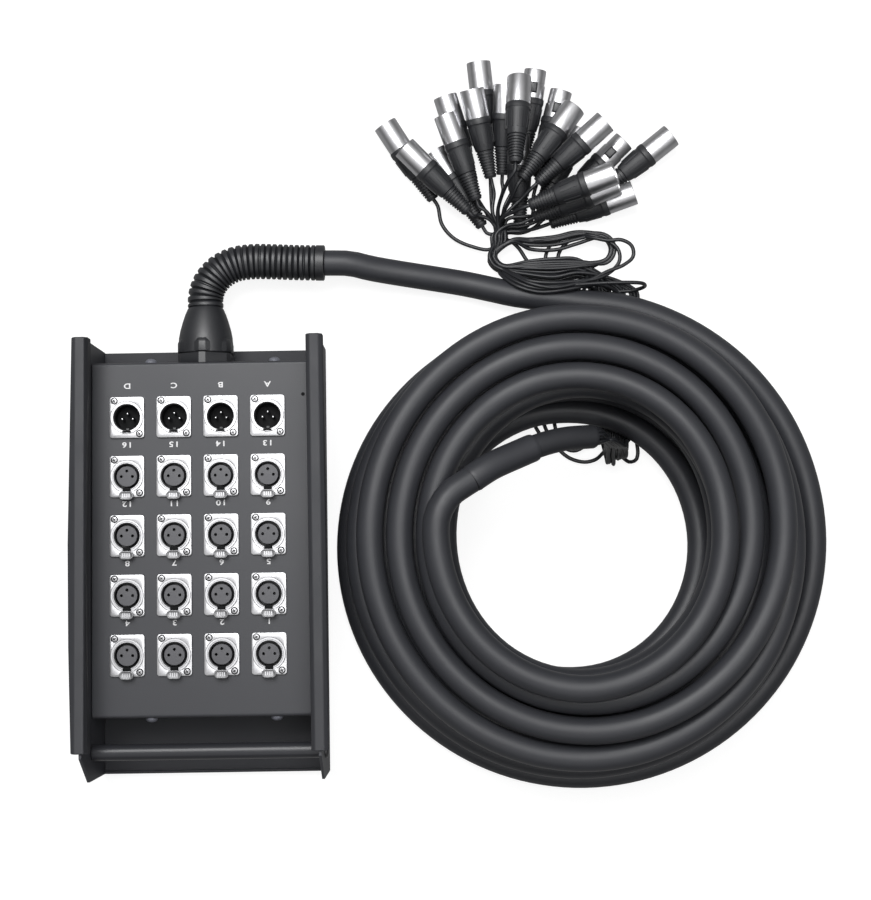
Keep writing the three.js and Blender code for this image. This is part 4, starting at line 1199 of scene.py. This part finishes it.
class SNAKE_OT_sockets(bpy.types.Operator):
    """Sixteen female panel connectors with their release tabs"""
    bl_idname = "snake.sockets"
    bl_label = "Sockets"

    def execute(self, context):
        sizes = context.scene.snake_sizes
        socket = self.socket(sizes)
        tab = self.release_tab()
        for row in range(1, ROWS):
            for column in range(COLUMNS):
                number = (ROWS - row) * COLUMNS - column
                x, y = grid_place(row, column)
                place = Matrix.Translation((x, y, 0))
                piece = copied(socket, f"socket_{number:02d}", place)
                rides(piece, "nickel", f"female_connector_{number:02d}")
                key = copied(tab, f"release_tab_{number:02d}", place)
                rides(key, "nickel", f"latch_tab_{number:02d}",
                      body=f"latch_tab_{number:02d}_body")
        discard(socket, tab)
        return {"FINISHED"}

    def socket(self, sizes):
        top = FLANGE_TOP
        plate = flange_plate(sizes.flange_width, sizes.flange_length)
        rim = turned("rim", [
            (0.0108, top - 0.012), (0.0108, top - 0.0021), (0.0125, top - 0.0021),
            (0.0125, top + 0.0003), (0.0121, top + 0.0006), (0.0108, top + 0.0006),
            (0.0105, top + 0.0009), (0.0100, top + 0.0009),
            (0.00965, top + 0.0006), (0.00965, top - 0.002)], 48, "nickel")
        hole = turned("hole", [(0.0109, top - 0.004), (0.0109, top + 0.001)], 48, "nickel")
        carve(plate, hole)
        bore = turned("bore", [(0.00964, top - 0.02), (0.00964, top + 0.002)], 48, "nickel")
        carve(rim, bore)
        notch = (-0.0031, -0.0131, top - 0.006), (0.0031, -0.0083, top + 0.002)
        carve(plate, slab("notch", *notch, "black"))
        carve(rim, slab("notch", *notch, "black"))
        # Room for the tab when it is pressed down.
        carve(rim, slab("room", (-0.0057, -0.0131, top + 0.0001), (0.0057, -0.0109, top + 0.002),
                        "black"))
        soften(plate, 0.00022)
        smooth(rim)
        liner = turned("liner", [
            (0.0106, top - 0.022), (0.0106, top - 0.0125), (0.0096, top - 0.0125),
            (0.0096, top - 0.0006), (0.0093, top - 0.0006), (0.0093, top - 0.011),
            (0.004, top - 0.011)], 40, "black")
        carve(liner, slab("notch", (-0.003, -0.0125, top - 0.0115),
                          (0.003, -0.0083, top + 0.002), "black"))
        insert = turned("insert", [
            (0.00775, top - 0.0112), (0.00775, top - 0.0004), (0.0075, top - 0.0001),
            (0.003, top)], 40, "insert")
        for x, y in SOCKET_HOLES:
            drill(insert, 0.00115, top - 0.009, top + 0.001, 18, x, y)
        smooth(insert)
        smooth(liner)
        return merged("socket", *with_screws([plate, rim, liner, insert]))

    def release_tab(self):
        """Oval thumb tab on its stem, standing proud of the flange."""
        foot = FLANGE_TOP + 0.0021
        tab = slab("tab", (-0.00535, -0.0176, foot), (0.00535, -0.0114, foot + 0.002), "latch")
        round_edges(tab, 0.0029, 6, upright)
        dish = slab("dish", (-0.0044, -0.0168, foot + 0.0015), (0.0044, -0.0122, foot + 0.003),
                    "latch")
        round_edges(dish, 0.0021, 6, upright)
        carve(tab, dish)
        soften(tab, 0.0003)
        ribs = []
        for x in (-0.0024, -0.0008, 0.0008, 0.0024):
            ribs.append(slab("rib", (x - 0.0004, -0.0159, foot + 0.0013),
                             (x + 0.0004, -0.0131, foot + 0.0019), "nickel"))
        # The stem and the leg take the well's darkened black as painted shade below the tab and in
        # the notch.
        stem = slab("stem", (-0.0026, -0.0122, foot + 0.0002), (0.0026, -0.0104, foot + 0.0012),
                    "well")
        leg = slab("leg", (-0.0026, -0.0108, FLANGE_TOP - 0.009), (0.0026, -0.0086, foot - 0.001),
                   "well")
        return merged("release_tab", tab, stem, leg, *ribs)


class SNAKE_OT_inlets(bpy.types.Operator):
    """Four male panel connectors"""
    bl_idname = "snake.inlets"
    bl_label = "Inlets"

    def execute(self, context):
        inlet = self.inlet(context.scene.snake_sizes)
        for column in range(COLUMNS):
            x, y = grid_place(0, column)
            piece = copied(inlet, f"inlet_{'dcba'[column]}", Matrix.Translation((x, y, 0)))
            rides(piece, "nickel", f"male_connector_{'dcba'[column]}")
        discard(inlet)
        return {"FINISHED"}

    def inlet(self, sizes):
        top = FLANGE_TOP
        plate = flange_plate(sizes.flange_width, sizes.flange_length)
        hole = turned("hole", [(0.01075, top - 0.004), (0.01075, top + 0.001)], 48, "nickel")
        carve(plate, hole)
        soften(plate, 0.00022)
        shell = turned("shell", [
            (0.0112, top - 0.022), (0.0112, top - 0.0026), (0.0125, top - 0.0024),
            (0.0125, top + 0.0003), (0.0121, top + 0.0006), (0.0103, top + 0.0006),
            (0.0099, top + 0.0002), (0.00975, top - 0.002), (0.00975, top - 0.0132)], 48, "nickel")
        smooth(shell, 30)
        # The floor takes the well's darkened black as painted shade of the deep inlet.
        floor = turned("floor", [
            (0.0097, top - 0.0135), (0.0097, top - 0.003), (0.0093, top - 0.003),
            (0.0093, top - 0.0125), (0.004, top - 0.0124)], 40, "well")
        smooth(floor)
        rib = slab("rib", (-0.001, -0.0093, top - 0.0125), (0.001, -0.0079, top - 0.004), "black")
        # Dark slab on the top as painted shade of the key notch.
        keyway = slab("keyway", (-0.0032, -0.0116, top - 0.0002),
                      (0.0032, -0.0101, top + 0.0011), "well")
        parts = [plate, shell, floor, rib, keyway]
        for x, y in INLET_PINS:
            pin = turned("pin", [
                (0.00118, top - 0.0125), (0.00118, top - 0.0032), (0.0009, top - 0.0026),
                (0.0004, top - 0.0023)], 16, "pin")
            parts.append(smooth(moved(pin, x, y), 40))
        return merged("inlet", *with_screws(parts))


class SNAKE_OT_labels(bpy.types.Operator):
    """White numbers and letters above the connectors"""
    bl_idname = "snake.labels"
    bl_label = "Labels"

    def execute(self, context):
        size = context.scene.snake_sizes.label
        words = ["D", "C", "B", "A"] + [str(n) for n in range(16, 0, -1)]
        for index, word in enumerate(words):
            x, y = grid_place(index // COLUMNS, index % COLUMNS)
            fresh()
            bpy.ops.object.text_add(location=(x, y + LABEL_RISE, PANEL_TOP),
                                    rotation=(0, 0, math.pi))
            text = bpy.context.object
            text.data.body = word
            text.data.size = size
            text.data.align_x = "CENTER"
            text.data.align_y = "CENTER"
            text.data.extrude = LABEL_THICKNESS
            text.data.offset = LABEL_BOLDER
            text.data.space_character = 1.2
            # The photo's figures are wider than this font's.
            text.scale = LABEL_SCALE
            bpy.ops.object.convert(target="MESH")
            label = settle(bpy.context.object, f"label_{word.lower()}", "paint")
            rides(label, "panel")
        return {"FINISHED"}


class SNAKE_PT_panel(bpy.types.Panel):
    """Lists the pieces of the snake"""
    bl_idname = "SNAKE_PT_panel"
    bl_label = "Stage box snake"
    bl_space_type = "VIEW_3D"
    bl_region_type = "UI"
    bl_category = "Snake"

    def draw(self, context):
        for operator in OPERATORS:
            self.layout.operator(operator.bl_idname)
        for group in (context.scene.snake_sizes, context.scene.snake_colours):
            for name in group.__annotations__:
                self.layout.prop(group, name)


OPERATORS = (
    SNAKE_OT_stage, SNAKE_OT_main_cable, SNAKE_OT_plugs, SNAKE_OT_gland, SNAKE_OT_box,
    SNAKE_OT_sockets, SNAKE_OT_inlets, SNAKE_OT_labels,
)
CLASSES = (SnakeSizes, SnakeColours, *OPERATORS, SNAKE_PT_panel)


def register():
    for made in CLASSES:
        bpy.utils.register_class(made)
    bpy.types.Scene.snake_sizes = bpy.props.PointerProperty(type=SnakeSizes)
    bpy.types.Scene.snake_colours = bpy.props.PointerProperty(type=SnakeColours)


def unregister():
    del bpy.types.Scene.snake_sizes
    del bpy.types.Scene.snake_colours
    for made in reversed(CLASSES):
        bpy.utils.unregister_class(made)


def main():
    register()
    bpy.ops.snake.stage()
    bpy.ops.snake.main_cable()
    bpy.ops.snake.plugs()
    bpy.ops.snake.gland()
    bpy.ops.snake.box()
    bpy.ops.snake.sockets()
    bpy.ops.snake.inlets()
    bpy.ops.snake.labels()
    fresh()


if __name__ == "__main__":
    main()
